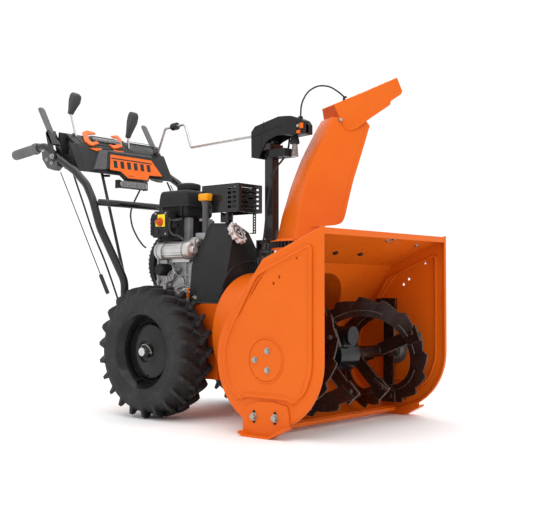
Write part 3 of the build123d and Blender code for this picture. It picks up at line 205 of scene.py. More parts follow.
DUST = (0.35, 0.33, 0.30)
# Each look's edge colour is lighter than its own colour: partly wear and partly painted highlight.
LOOKS = {
    "orange_paint": dict(colour=ORANGE, tint=(0.68, 0.112, 0.005), tint_scale=5, rough=(0.26, 0.36),
        grain=(260, 0.035), shine=0.14, edge=(ORANGE_EDGE_WEAR_AND_HIGHLIGHT, 0.45)),
    "frame_orange": dict(colour=(0.67, 0.104, 0.005), tint=(0.60, 0.085, 0.004), tint_scale=7,
        rough=(0.30, 0.42), grain=(260, 0.05), shine=0.14, edge=(ORANGE_EDGE_WEAR_AND_HIGHLIGHT, 0.35)),
    "black_paint": dict(colour=(0.010, 0.010, 0.011), tint=(0.018, 0.018, 0.019), rough=(0.16, 0.26),
        grain=(300, 0.04), shine=0.3, coat=0.2, coat_rough=0.06, edge=(grey(0.10), 0.5)),
    "auger_paint": dict(colour=(0.012, 0.006, 0.005), tint=(0.035, 0.010, 0.006), tint_scale=14,
        rough=(0.22, 0.38), grain=(180, 0.10), shine=0.3, coat=0.1, coat_rough=0.15,
        edge=((0.50, 0.34, 0.24), 0.8), edge_width=1.0, spots=((0.05, 0.018, 0.010), 60, 0.6)),
    "engine_casting": dict(colour=(0.42, 0.42, 0.43), tint=(0.30, 0.30, 0.31), tint_scale=22, metal=0.75,
        rough=(0.42, 0.60), grain=(900, 0.45), edge=(grey(0.75), 0.6)),
    "motor_metal": dict(colour=(0.62, 0.61, 0.60), tint=(0.48, 0.47, 0.46), tint_scale=16, metal=0.8,
        rough=(0.30, 0.45), grain=(700, 0.18), grain_stretch=(1, 12, 1), edge=((0.85, 0.85, 0.84), 0.6)),
    "black_plastic": dict(colour=(0.013, 0.013, 0.014), tint=(0.021, 0.021, 0.022), tint_scale=18,
        rough=(0.40, 0.52), grain=(1400, 0.25), edge=(grey(0.10), 0.45)),
    "grey_plastic": dict(colour=(0.0185, 0.0185, 0.0195), tint=(0.0135, 0.0135, 0.0145), tint_scale=12,
        rough=(0.38, 0.50), grain=(1300, 0.25), edge=((0.17, 0.17, 0.175), 0.5)),
    "tyre_rubber": dict(colour=(0.020, 0.020, 0.021), tint=grey(0.034), tint_scale=14, rough=(0.50, 0.70),
        grain=(700, 0.30), edge=(grey(0.13), 0.5), spots=(DUST, 35, 0.05)),
    "grip_rubber": dict(colour=(0.15, 0.15, 0.152), tint=(0.12, 0.12, 0.122), tint_scale=30,
        rough=(0.55, 0.68), grain=(900, 0.4), edge=(grey(0.22), 0.4)),
    "belt_rubber": dict(colour=grey(0.012), rough=(0.6, 0.75), grain=(500, 0.4)),
    "rim_paint": dict(colour=(0.005, 0.005, 0.0055), tint=grey(0.010), rough=(0.16, 0.28),
        grain=(240, 0.05), shine=0.25, coat=0.1, coat_rough=0.1, edge=(grey(0.12), 0.5)),
    "steel": dict(colour=(0.62, 0.61, 0.60), tint=(0.50, 0.49, 0.48), tint_scale=40, metal=0.95,
        rough=(0.22, 0.36), grain=(600, 0.12), grain_stretch=(1, 8, 1), edge=(grey(0.85), 0.5)),
    "bearing_steel": dict(colour=(0.40, 0.39, 0.38), tint=(0.28, 0.27, 0.26), tint_scale=40, metal=0.9,
        rough=(0.30, 0.45), grain=(500, 0.15)),
    "zinc_bolt": dict(colour=(0.42, 0.40, 0.36), tint=(0.30, 0.29, 0.27), tint_scale=120, metal=0.95,
        rough=(0.24, 0.40), grain=(900, 0.2), edge=((0.70, 0.69, 0.66), 0.6)),
    "gear_iron": dict(colour=(0.13, 0.13, 0.135), tint=grey(0.08), tint_scale=60, metal=0.85,
        rough=(0.35, 0.5), grain=(800, 0.3), edge=(grey(0.5), 0.6)),
    "knob_plastic": dict(colour=(0.060, 0.061, 0.064), tint=(0.045, 0.046, 0.048), tint_scale=25,
        rough=(0.28, 0.40), grain=(1200, 0.18), edge=((0.22, 0.22, 0.23), 0.6)),
    "gloss_black": dict(colour=(0.006, 0.006, 0.007), tint=(0.012, 0.012, 0.013), rough=(0.10, 0.18),
        grain=(200, 0.03), shine=0.4, coat=0.4, coat_rough=0.04, edge=(grey(0.12), 0.5)),
    "cap_yellow": dict(colour=(0.90, 0.38, 0.008), tint=(0.82, 0.31, 0.006), tint_scale=30,
        rough=(0.32, 0.44), grain=(900, 0.2), edge=((1.0, 0.60, 0.15), 0.5)),
    "label_yellow": dict(colour=(0.88, 0.72, 0.02), tint=(0.80, 0.64, 0.02), tint_scale=40,
        rough=(0.30, 0.40), grain=(600, 0.08)),
    "choke_red": dict(colour=(0.62, 0.085, 0.01), tint=(0.50, 0.06, 0.01), tint_scale=60,
        rough=(0.28, 0.42), grain=(900, 0.2), edge=((0.9, 0.3, 0.1), 0.5)),
    "cable_black": dict(colour=(0.020, 0.017, 0.016), tint=(0.035, 0.03, 0.028), tint_scale=30,
        rough=(0.30, 0.42), grain=(700, 0.2)),
    "aluminium_disc": dict(colour=grey(0.55), tint=grey(0.42), metal=0.95, rough=(0.25, 0.4),
        grain=(400, 0.15), grain_stretch=(10, 1, 10)),
    "trim_orange": dict(colour=(0.86, 0.145, 0.003), tint=(0.80, 0.125, 0.003), tint_scale=20,
        rough=(0.34, 0.46), grain=(1100, 0.2), edge=(ORANGE_EDGE_WEAR_AND_HIGHLIGHT, 0.5)),
    "badge_silver": dict(colour=(0.74, 0.68, 0.65), tint=(0.62, 0.55, 0.53), tint_scale=60, metal=0.4,
        rough=(0.28, 0.40), grain=(900, 0.15), edge=((0.95, 0.93, 0.9), 0.6)),
    "trim_grey": dict(colour=(0.10, 0.10, 0.103), tint=(0.07, 0.07, 0.073), tint_scale=25,
        rough=(0.40, 0.52), grain=(1100, 0.25), edge=(grey(0.35), 0.5)),
    "ribbed_grey": dict(colour=(0.36, 0.36, 0.37), tint=(0.22, 0.22, 0.225), tint_scale=90, metal=0.5,
        rough=(0.30, 0.42), grain=(700, 0.2)),
}


def make_materials():
    return {name: finish(name, **look) for name, look in LOOKS.items()}


OTHER_FINISH = {"auger_gearcase": "rim_paint"}     # CAD nodes whose look differs from their slot's


def dress_cad_nodes():
    """Every carried-over CAD node takes the finish of its slot in the record, or its own in OTHER_FINISH."""
    for row in frame["record"]["subparts"]:
        mesh = frame["nodes"][row["node"]].data
        mesh.materials.clear()
        mesh.materials.append(MATERIALS[OTHER_FINISH.get(row["node"], row["material_slot"])])


# ---------------------------------------------------------------- shapes in millimetres
# A shape is (points, faces). piece() turns a list of (shape, material name) pairs into one object.
PLACE = {"x": lambda u, v, h: (h, u, v), "y": lambda u, v, h: (u, h, v), "z": lambda u, v, h: (u, v, h)}


def to_frame(point):
    return Vector((point[0], point[1] + FRONT_EDGE_SHIFT, point[2])) * MM


def block(x0, x1, y0, y1, z0, z1):
    points = [(x, y, z) for x in (x0, x1) for y in (y0, y1) for z in (z0, z1)]
    return points, [(0, 1, 3, 2), (4, 6, 7, 5), (0, 4, 5, 1), (2, 3, 7, 6), (0, 2, 6, 4), (1, 5, 7, 3)]


def loft(rings, closed=False):
    """A skin over a row of equal loops, capped at both ends unless the row closes on itself."""
    count = len(rings[0])
    points = [point for ring in rings for point in ring]
    faces = []
    for i in range(len(rings) if closed else len(rings) - 1):
        near, far = i * count, (i + 1) % len(rings) * count
        faces += [(near + j, near + (j + 1) % count, far + (j + 1) % count, far + j) for j in range(count)]
    if not closed:
        faces += [tuple(range(count)), tuple(range((len(rings) - 1) * count, len(rings) * count))]
    return points, faces


def prism(outline, axis, low, high):
    """An outline drawn across an axis, made solid between two heights on that axis."""
    return loft([[PLACE[axis](u, v, h) for u, v in outline] for h in (low, high)])


def full_turn(count):
    """Evenly spaced angles all the way round."""
    return [2 * pi * i / count for i in range(count)]


def turned(profile, axis, centre, sides=64, closed=False):
    """A profile of (radius, height) turned about an axis through centre."""
    def ring(r, h):
        return [PLACE[axis](centre[0] + r * cos(a), centre[1] + r * sin(a), h) for a in full_turn(sides)]
    return loft([ring(r, h) for r, h in profile], closed)


def disc(r, low, high, axis, centre, sides):
    return turned([(0.5, low), (r, low), (r, high), (0.5, high)], axis, centre, sides)


def washer(inner, outer, low, high, axis, centre, sides):
    return turned([(inner, low), (outer, low), (outer, high), (inner, high)], axis, centre, sides, True)


def smooth_path(points, steps=8):
    """More points along a smooth line through the given ones."""
    rows = [Vector(p) for p in points]
    rows = [rows[0] * 2 - rows[1], *rows, rows[-1] * 2 - rows[-2]]
    line = []
    for a, b, c, d in zip(rows, rows[1:], rows[2:], rows[3:]):
        for i in range(steps):
            t = i / steps
            line.append(0.5 * (2 * b + (c - a) * t + (2 * a - 5 * b + 4 * c - d) * t * t
                               + (3 * b - a - 3 * c + d) * t ** 3))
    return line + [rows[-2]]


def tube(path, r, sides=14, closed=False):
    """A round bar along a row of points; r is a number or one radius for each point."""
    path = [Vector(p) for p in path]
    radii = r if isinstance(r, (list, tuple)) else [r] * len(path)
    side = None
    rings = []
    for i, point in enumerate(path):
        if closed:
            along = (path[(i + 1) % len(path)] - path[i - 1]).normalized()
        else:
            along = (path[min(i + 1, len(path) - 1)] - path[max(i - 1, 0)]).normalized()
        if side is None:
            side = along.orthogonal().normalized()
        side = (side - along * side.dot(along)).normalized()
        up = along.cross(side)
        rings.append([point + (side * cos(a) + up * sin(a)) * radii[i] for a in full_turn(sides)])
    return loft(rings, closed)


def bolt(centre, axis, way, size=5.0):
    """A hexagon head with chamfered corners on its washer; way is +1 or -1 along the axis."""
    across = [c for name, c in zip("xyz", centre) if name != axis]
    base = centre["xyz".index(axis)]
    under = [(0.4, 0), (2.1, 0), (2.1, 0.3), (0.4, 0.35)]
    head = [(1.5, 0.3), (1.6, 0.5), (1.6, 1.3), (1.3, 1.5)]
    return joined(*[turned([(r * size, base + way * (h * size)) for r, h in profile], axis, across, sides)
                    for profile, sides in ((under, 24), (head, 6))])


def joined(*shapes):
    points, faces = [], []
    for more_points, more_faces in shapes:
        base = len(points)
        points += list(more_points)
        faces += [tuple(base + i for i in face) for face in more_faces]
    return points, faces


def moved(shape, matrix):
    return [tuple(matrix @ Vector(p)) for p in shape[0]], shape[1]


def mirrored(shape):
    return [(-x, y, z) for x, y, z in shape[0]], shape[1]


def sided(side, parts):
    """Parts drawn for the +X side as they are, or mirrored for the other side."""
    return parts if side > 0 else [(mirrored(shape), material) for shape, material in parts]


def piece(name, body, parts, bevel=0.8, steps=2, replaces=(), sharp=32):
    """One object made of (shape, material name) pairs, riding on a body."""
    mesh = bpy.data.meshes.new(name)
    names, points, faces, paints = [], [], [], []
    for (shape_points, shape_faces), material in parts:
        if material not in names:
            names.append(material)
        base = len(points)
        points += [to_frame(p) for p in shape_points]
        faces += [tuple(base + i for i in face) for face in shape_faces]
        paints += [names.index(material)] * len(shape_faces)
    mesh.from_pydata(points, [], faces)
    for material in names:
        mesh.materials.append(MATERIALS[material])
    mesh.polygons.foreach_set("material_index", paints)
    work = bmesh.new()
    work.from_mesh(mesh)
    bmesh.ops.recalc_face_normals(work, faces=work.faces)
    work.to_mesh(mesh)
    work.free()
    mesh.shade_smooth()
    mesh.set_sharp_from_angle(angle=radians(sharp))
    made = bpy.data.objects.new(name, mesh)
    bpy.context.scene.collection.objects.link(made)
    if bevel:
        rounding = made.modifiers.new("rounding", "BEVEL")
        rounding.width, rounding.segments = bevel * MM, steps
        rounding.limit_method, rounding.angle_limit = "ANGLE", radians(sharp)
        rounding.harden_normals = True
    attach(made, body)
    if replaces:
        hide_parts(*replaces)
    return made


# ---------------------------------------------------------------- wheels
WHEEL_MIDDLE = 218.5          # from the machine's middle to a tyre's
LUGS = 22                     # pairs of tread bars


def tyre(side, name):
    """Carcass with a ribbed bead, and bars that run from each shoulder towards the middle of the tread."""
    half = [(108, 52), (111, 56.5), (114, 57.5), (117, 56.8), (121, 59.2), (124, 58.4), (136, 61.2),
            (150, 62.2), (153, 61.4), (161, 60), (169, 54), (175, 44), (178.5, 28)]
    profile = half + [(179.5, 0)] + [(r, -h) for r, h in reversed(half)]
    carcass = turned([(r, WHEEL_MIDDLE + h) for r, h in profile], "x", WHEEL_CENTRE, 120, closed=True)
    shoulder = [(62.0, 156, 157, 0.0, 6.0, 3.5), (60.5, 158, 174, 0.6, 9.5, 4.0),
                (55, 160, 190, 1.6, 11.5, 5.0), (42, 166, 193.5, 3.6, 11.5, 6.0),
                (27, 170, 195, 6.0, 10.5, 6.5), (22, 172, 194, 6.8, 9.0, 5.0)]
    crown = [(19, 172, 194.5, 8.6, 8.5, 6.0), (4, 172, 196, 11.0, 9.5, 7.0), (-3, 172, 195, 12.0, 7.5, 5.0)]
    bars = []
    for i in range(LUGS):
        for hand in (-1, 1):
            start = 360 / LUGS * (i + 0.25 * hand)
            for stations in (shoulder, crown):
                rings = []
                for out, low, high, lag, foot, top in stations:
                    ring = []
                    for r, width in ((low, -foot), (high, -top), (high, top), (low, foot)):
                        angle = radians(start + lag) + width / r
                        ring.append((WHEEL_MIDDLE + hand * out, WHEEL_Y + r * cos(angle),
                                     WHEEL_Z + r * sin(angle)))
                    rings.append(ring)
                bars.append(loft(rings))
    rubber = joined(carcass, *bars)
    piece(f"{name}_tread", "wheels", sided(side, [(rubber, "tyre_rubber")]), bevel=1.6, replaces=[name],
          sharp=38)


def rim(side, name):
    """Black pressed rim: flanges, deep barrel, dished disc, hub tube with its cross pin and a valve."""
    outer = [(105.5, 50), (112, 54), (113, 56.5), (110, 58), (105, 52), (100, 44), (95, 38), (91, 24),
             (91, -24), (95, -38), (100, -44), (105, -52), (110, -58), (113, -56.5), (112, -54),
             (105.5, -50), (105.5, -44), (97, -36), (94, -22), (94, 22), (97, 36), (105.5, 44)]
    dish = [(92, 12), (84, 14), (80, 22), (76, 24), (50, 25), (32, 27), (28, 30), (16, 30), (16, 25),
            (30, 22), (50, 20), (74, 19), (80, 8), (92, 7)]
    hub = [(0.5, -55), (24, -55), (24, 26), (19, 30), (19, 41), (16.5, 43.5), (13, 43.5), (12.5, 36),
           (0.5, 36)]

    def about(profile, sides=96, closed=True):
        return turned([(r, WHEEL_MIDDLE + h) for r, h in profile], "x", WHEEL_CENTRE, sides, closed)

    ring_r, ring_x = 21.0, WHEEL_MIDDLE + 35
    loop = [(ring_x + 8 * sin(a), WHEEL_Y + ring_r * cos(a), WHEEL_Z + ring_r * sin(a))
            for a in (pi * (0.1 + i / 14) for i in range(15))]
    pin = tube([(ring_x, WHEEL_Y - 25, WHEEL_Z - 4), (ring_x, WHEEL_Y + 25, WHEEL_Z + 4)], 3.0)
    valve = tube([(WHEEL_MIDDLE + 26, WHEEL_Y + 30, WHEEL_Z - 83),
                  (WHEEL_MIDDLE + 48, WHEEL_Y + 31, WHEEL_Z - 85)], [4.5, 3.2])
    shaft_end = turned([(0.5, WHEEL_MIDDLE + 30), (12.3, WHEEL_MIDDLE + 30), (12.3, WHEEL_MIDDLE + 45),
                        (10.5, WHEEL_MIDDLE + 47), (0.5, WHEEL_MIDDLE + 47)], "x", WHEEL_CENTRE, 40)
    parts = [(joined(about(outer), about(dish), about(hub, 40, False)), "rim_paint"),
             (joined(tube(loop, 1.8, 8), pin, shaft_end), "zinc_bolt"), (valve, "belt_rubber")]
    piece(f"{name}_pressing", "wheels", sided(side, parts), bevel=0.7, replaces=[name])


def make_wheels():
    for side, word in ((1, "left"), (-1, "right")):
        tyre(side, f"tyre_{word}")
        rim(side, f"rim_{word}")


# ---------------------------------------------------------------- augers
FLIGHT_X0, FLIGHT_X1 = 64.0, 264.0
FLIGHT_IN, FLIGHT_OUT, FLIGHT_SWEEP = 104.0, 161.0, 240.0


def flight_x(share):
    """Distance across the machine at a share of a flight's sweep."""
    return FLIGHT_X0 + (FLIGHT_X1 - FLIGHT_X0) * (1 - (1 - share) ** 1.5)


def on_flight(start, share, r, offset=0.0):
    angle = radians(start + FLIGHT_SWEEP * share)
    return flight_x(share) + offset, AUGER_Y + r * cos(angle), AUGER_Z + r * sin(angle)


def flight(start, teeth=10, steps=6):
    """A helical strip with a saw-toothed rim, leaning out a little towards its teeth."""
    rings = []
    for i in range(teeth * steps + 1):
        share = i / (teeth * steps)
        tooth = (i % steps) / (steps - 1) if i < teeth * steps else 1.0
        outer = FLIGHT_OUT - 13 * tooth
        rings.append([on_flight(start, share, r, offset)
                      for r, offset in ((FLIGHT_IN, -2.5), (outer, 2.0), (outer, 7.0), (FLIGHT_IN, 2.5))])
    return loft(rings)


def auger_side():
    """The +X auger's sleeve, strips, flat spokes, end tabs, bolts and welds."""
    sleeve = turned([(12.6, 56), (16.5, 56), (17.5, 58), (17.5, 278), (16.5, 280), (12.6, 280)], "x",
                    AUGER_CENTRE, 40, True)
    collar = washer(12.6, 21, 80, 100, "x", AUGER_CENTRE, 40)
    black, bright = [sleeve, collar], []
    for start in (38.0, 218.0):
        black.append(flight(start))
        for low, high in ((0.05, 0.32), (0.42, 0.60), (0.70, 0.95)):
            line = [on_flight(start, low + (high - low) * i / 16, 121, -2.5) for i in range(17)]
            bright.append(tube(line, 1.6, 8))
        for share in (0.03, 0.5, 0.97):
            turn = Matrix.Translation((flight_x(share), AUGER_Y, AUGER_Z))
            turn = turn @ Matrix.Rotation(radians(start + FLIGHT_SWEEP * share - 90), 4, "X")
            black.append(moved(block(-3, 3, -18, 18, 14, 128), turn))
            black.append(moved(block(-4.5, 4.5, -24, 24, 112, 156), turn))
            black.append(moved(disc(7, -9, -4, "x", (8, 136), 6), turn))
            bright.append(moved(turned([(0.5, 4), (6, 4), (6, 8), (5, 9), (0.5, 9)], "x", (8, 136), 6), turn))
            bright.append(moved(tube([(3, -18, 20), (3, -18, 110)], 1.3, 8), turn))
    return [(joined(*black), "auger_paint"), (joined(*bright), "gear_iron")]


def make_augers():
    to_centre = Matrix.Translation((0, *AUGER_CENTRE))
    half_turn = to_centre @ Matrix.Rotation(pi, 4, "X") @ to_centre.inverted()
    left = auger_side()
    piece("auger_flights_left", "auger", left, bevel=0.6, replaces=["auger_left"])
    right = [(moved(mirrored(shape), half_turn), material) for shape, material in left]
    piece("auger_flights_right", "auger", right, bevel=0.6, replaces=["auger_right"])


# ---------------------------------------------------------------- dash and hand controls
DASH_HALF = 211.0
DASH_PIVOT = (1125.0, 812.0)
TOP_EDGE, TOP_BACK = Vector((0, 1107, 861)), Vector((0, 1165, 905))
FACE_FOOT = Vector((0, 1058, 768))
LEVER_LEAN = 58                # degrees from level that a hand lever's arm rises to the rear
GRIP_OFF = 17.2                # from a hand lever's line out to the middle of its rubber grip
BAR_END, BAR_BEND = Vector((0, 1378, 841)), Vector((0, 1213, 858))
CRANK_FRONT, CRANK_REAR = Vector((40, 498, 853)), Vector((176, 1116, 866))


def on_slope(low, high, x, up, out):
    """A point on a sloping face of the console: up from its lower edge, out along its normal."""
    along = (high - low).normalized()
    normal = Vector((0, -along.z, along.y))
    return low + along * up + normal * out + Vector((x, 0, 0))


def on_top(x, up, out=0.0):
    return on_slope(TOP_EDGE, TOP_BACK, x, up, out)


def on_face(x, up, out=0.0):
    return on_slope(FACE_FOOT, TOP_EDGE, x, up, out)


def plate(outline, where, low, high):
    """A flat shape laid on one of the console's faces."""
    return loft([[tuple(where(x, up, out)) for x, up in outline] for out in (low, high)])


def dash():
    """Console body with its end pockets, hexagonal trim, ribbed handle, grey band and face plate."""
    side = [(1058, 768), (1104, 856), (1109, 862), (1160, 901), (1166, 902), (1175, 842), (1170, 832),
            (1134, 778), (1128, 775), (1062, 765)]
    body = [prism(side, "x", -DASH_HALF + 34, DASH_HALF - 34)]
    pockets = []
    walls = [([(1058, 768), (1087, 822), (1160, 822), (1134, 778), (1128, 775), (1062, 765)], 0),
             ([(1087, 822), (1104, 856), (1109, 862), (1116, 858), (1100, 822)], 0),
             ([(1104, 856), (1109, 862), (1160, 901), (1166, 902), (1168, 896), (1116, 857)], 24),
             ([(1150, 822), (1158, 900), (1166, 902), (1175, 842), (1165, 822)], 0)]
    for hand in (-1, 1):
        body += [prism(outline, "x", hand * (DASH_HALF - 34), hand * (DASH_HALF - inset)) for outline,
                 inset in walls]
        pockets.append(prism([(1101, 823), (1118, 857), (1150, 880), (1151, 823)], "x",
                             hand * (DASH_HALF - 33), hand * (DASH_HALF - 31)))
    parts = [(joined(*body), "grey_plastic"), (joined(*pockets), "trim_grey")]

    def flat(material, face, low, high, *outlines):
        parts.extend((plate(outline, face, low, high), material) for outline in outlines)

    # on the top: a darker plate as painted shade of the recess, the two halves of the hexagonal trim with
    # their lips over the front edge
    flat("black_plastic", on_top, 0.0, 1.2,
         [(-112, 22), (-100, 62), (-72, 76), (32, 76), (46, 62), (30, 26), (-6, 12), (-98, 12)])
    flat("trim_orange", on_top, 0, 5,
         [(-78, 104), (-108, 84), (-138, 22), (-128, -2), (-118, -3), (-76, 20), (-82, 31), (-106, 19),
          (-112, 33), (-93, 72), (-60, 86), (-48, 88), (-50, 100)],
         [(24, 92), (62, 104), (60, 76), (24, 18), (-20, -2), (-28, -2), (-32, 22), (-14, 18), (8, 30),
          (28, 48), (44, 72), (42, 84), (26, 82)])
    flat("trim_orange", on_face, 0.5, 3.0, [(-136, 92), (-80, 99.5), (-84, 92), (-106, 84)],
         [(-34, 92), (-28, 99.5), (18, 99.5), (-8, 80), (-24, 78)])
    arch = [(44 + 9.5 * cos(pi * k / 8), 4 + 6.5 * sin(pi * k / 8)) for k in range(9)]
    parts += [(loft([[tuple(on_top(-92 + 5.6 * i + dx, up, out)) for up, out in arch] for dx in (0, 3.6)]),
               "ribbed_grey") for i in range(22)]
    # the levers' slots as black plates, painted shade of the openings, and two lines beside them
    flat("black_plastic", on_top, 0, 1.0, *[[(x - 7, 4), (x + 7, 4), (x + 7, 74), (x - 7, 74)]
                                            for x in (60, -150)])
    flat("trim_grey", on_top, 0, 1.6, [(84, 62), (196, 62), (196, 66), (84, 66)],
         [(84, 74), (196, 74), (196, 76), (84, 76)])
    # on the front: shield, band at its left and top, orange plate, and six stripes under a line
    flat("grey_plastic", on_face, -6, 9,
         [(-96, 12), (-62, 84), (136, 84), (166, 12), (96, 10), (78, -20), (-22, -20), (-44, 10)])
    flat("trim_grey", on_face, -1, 8, [(-150, 6), (-96, 88), (-62, 88), (-98, 10)])
    flat("trim_grey", on_face, -1, 9, [(-62, 84), (-58, 90), (134, 90), (138, 84)])
    flat("trim_orange", on_face, 8.5, 10.5,
         [(-84, 8), (-58, 72), (126, 70), (152, 6), (90, 4), (72, -18), (-16, -18), (-38, 6)])
    flat("black_plastic", on_face, 10.4, 11.0, *[[(-64 + 30 * i, 18), (-56 + 30 * i, 48),
                                                  (-40 + 30 * i, 48), (-48 + 30 * i, 18)]
                                                 for i in range(6)],
         [(-62, 54), (-60, 59), (120, 57), (122, 52)])
    parts += [(washer(8, 12, 760, 766, "z", (x, 1088), 24), "black_plastic") for x in (-70, 92)]
    hook = tube([(162, 1108, 862), (162, 1108, 876), (168, 1108, 882), (182, 1108, 882), (188, 1108, 876),
                 (188, 1108, 862)], 2.6, 10)
    bush = washer(5.6, 9, 1104, 1112, "y", (175, 866), 28)
    parts.append((joined(hook, bush), "black_paint"))
    for hand in (-1, 1):
        clamp = joined(block(*sorted((hand * DASH_HALF, hand * 217)), 1084, 1126, 783, 802),
                       disc(7, hand * 217, hand * 214, "x", (1096, 792), 6))
        parts.append((clamp, "black_plastic"))
    piece("dash_shell", "chassis", parts, bevel=1.2, replaces=["dash_console"])


def knob_lever(name, body, x, lean, length, size, bend):
    """Flat steel rod with a soft-cornered faceted knob that bends forward of the rod."""
    y, z = DASH_PIVOT
    width, height = size
    turn = Matrix.Translation((x, y, z)) @ Matrix.Rotation(radians(-lean), 4, "X")
    rod = joined(moved(block(-2.5, 2.5, -4.5, 4.5, 0, length), turn),
                 moved(disc(9, -3, 3, "x", (0, 0), 32), turn),
                 moved(disc(4, 3, 14, "x", (0, 0), 24), turn))
    rings = []
    for up, w, d, shift in ((-0.04, 0.40, 0.40, 2), (0.0, 0.52, 0.50, 2), (0.12, 0.58, 0.52, 1),
                            (0.34, 0.78, 0.70, 0), (0.60, 1.0, 0.96, -1), (0.84, 0.98, 0.98, 0),
                            (0.94, 0.84, 0.86, 1), (1.0, 0.55, 0.55, 2)):
        half_w, half_d, cut = w * width / 2, d * width / 2, 0.36
        corners = [(-half_w, -half_d * (1 - cut)), (-half_w * (1 - cut), -half_d),
                   (half_w * (1 - cut), -half_d), (half_w, -half_d * (1 - cut)),
                   (half_w, half_d * (1 - cut)), (half_w * (1 - cut), half_d),
                   (-half_w * (1 - cut), half_d), (-half_w, half_d * (1 - cut))]
        rings.append([(u, v + shift, up * height) for u, v in corners])
    turn = turn @ Matrix.Translation((0, 0, length - 12)) @ Matrix.Rotation(radians(bend), 4, "X")
    knob = moved(loft(rings), turn)
    piece(f"{name}_knob", body, [(knob, "knob_plastic"), (rod, "steel")], bevel=1.8, steps=3, replaces=[name])


def hand_lever(side, name):
    """Folded black arm with a rounded rubber grip; the arm straddles the handlebar."""
    y, z = LEVER_PIVOT
    lean = radians(LEVER_LEAN)

    def at(distance, off):
        return y + cos(lean) * distance - sin(lean) * off, z + sin(lean) * distance + cos(lean) * off

    cheek = [at(-14, -10), at(-16, 6), at(-6, 13), at(50, 22), at(90, 23), at(84, 9), at(30, -6), at(0, -13)]
    arm = joined(prism(cheek, "x", BAR_X - 17, BAR_X - 13.4), prism(cheek, "x", BAR_X + 13.4, BAR_X + 17),
                 prism([at(36, 13.5), at(36, 21), at(50, 22.5), at(92, 23.5), at(90, 9.5), at(60, 12.8)], "x",
                       BAR_X - 17, BAR_X + 17))
    rings = []
    for distance, half, deep in ((80, 10, 6.5), (84, 12, 7.5), (120, 12.6, 7.2), (160, 13.4, 6.6),
                                 (184, 13.6, 6.2), (190, 11.5, 5.2), (193, 8, 3.5)):
        rings.append([(BAR_X + half * cos(a), *at(distance, GRIP_OFF + deep * sin(a)))
                      for a in full_turn(20)])
    handle = loft(rings)
    boss = disc(9, BAR_X + 17, BAR_X + 18.5, "x", LEVER_PIVOT, 32)
    parts = [(arm, "black_paint"), (handle, "grip_rubber"), (boss, "zinc_bolt")]
    piece(f"{name}_arm", name, sided(side, parts), bevel=1.0, replaces=[name])


def handle_grips():
    """Rubber sleeves with a flange, a waist, finger ribs and a domed end."""
    along = (BAR_BEND - BAR_END).normalized()
    parts = []
    for side in (-1, 1):
        rings = []
        for distance, r in ((-6, 9), (-5, 13), (-1, 16.4), (6, 17), (60, 16), (108, 17), (112, 19.5),
                            (118, 19.5), (121, 17), (132, 16)):
            rings.append((BAR_END + along * distance + Vector((side * BAR_X, 0, 0)), r))
        parts.append(tube([p for p, r in rings], [r for p, r in rings], 36))
        for i in range(13):
            middle = BAR_END + along * (18 + 6.5 * i) + Vector((side * BAR_X, 0, 0))
            ridge = [middle - along * 1.6, middle, middle + along * 1.6]
            parts.append(tube(ridge, [16.2, 17.5, 16.2], 36))
    piece("handle_sleeves", "chassis", [(joined(*parts), "grip_rubber")], bevel=0.6,
          replaces=["handle_grips"])


def lever_brackets():
    """Moulded pivot housings under the bars, with a clamp bolt and ribs."""
    side_view = [(1136, 806), (1162, 822), (1196, 842), (1216, 836), (1212, 812), (1184, 780), (1150, 770),
                 (1132, 782)]
    parts, bolts = [], []
    for side in (-1, 1):
        parts.append(prism(side_view, "x", side * BAR_X - 12, side * BAR_X + 12))
        for y, z in ((1160, 795), (1186, 808)):
            parts.append(disc(8, side * BAR_X - 13.4, side * BAR_X + 13.4, "x", (y, z), 24))
            bolts.append(bolt((side * (BAR_X + 13.4), y, z), "x", side, 3.0))
    piece("lever_bracket_shells", "chassis", [(joined(*parts), "trim_grey"), (joined(*bolts), "zinc_bolt")],
          bevel=1.6, replaces=["lever_housings"])


def headlight():
    """Lamp bar: black housing, silver reflector pods behind a ribbed lens, and its bracket."""
    body = joined(block(-62, 62, 1034, 1052, 721, 745), block(-64, -58, 1030, 1052, 719, 747),
                  block(58, 64, 1030, 1052, 719, 747), block(-12, 12, 1044, 1050, 740, 764),
                  block(-12, 12, 1044, 1072, 762, 766))
    pods = [turned([(0.5, 1034), (4, 1034), (8, 1028), (9, 1028), (9, 1034)], "y", (-50 + 20 * i, 733), 28)
            for i in range(6)]
    lens = [block(-57 + 6 * i, -53.5 + 6 * i, 1026, 1029, 723, 743) for i in range(19)]
    parts = [(body, "black_plastic"), (joined(*pods), "badge_silver"), (joined(*lens), "ribbed_grey")]
    piece("lamp_bar", "chassis", parts, bevel=0.7, replaces=["headlight"])


def crank_handle():
    """Black moulded handle with flared ends."""
    along = (CRANK_REAR - CRANK_FRONT).normalized()
    up = (Vector((0, 0, 1)) - along * along.z).normalized()
    middle = CRANK_FRONT + along * 498 + up * 84
    end = [(54, 5.6), (54, 13), (52, 16.5), (47, 17.8), (42, 16.5), (37, 12), (32, 10.8)]
    stations = [(-h, r) for h, r in end] + [(0, 12.6)] + end[::-1]
    handle = tube([middle + along * h for h, r in stations], [r for h, r in stations], 32)
    rings = [tube([middle + along * (h - 1.2), middle + along * (h + 1.2)], 13.2, 32)
             for h in (-12, -6, 0, 6, 12)]
    piece("crank_handle", "crank_grip", [(joined(handle, *rings), "gloss_black")], bevel=0.5,
          replaces=["crank_grip"])


def make_controls():
    dash()
    knob_lever("speed_lever", "speed_lever", 60, 2, 114, (33, 90), 22)
    knob_lever("deflector_lever", "deflector_lever", -150, 19, 183, (35, 72), 44)
    hand_lever(1, "auger_lever")
    hand_lever(-1, "traction_lever")
    handle_grips()
    lever_brackets()
    headlight()
    crank_handle()


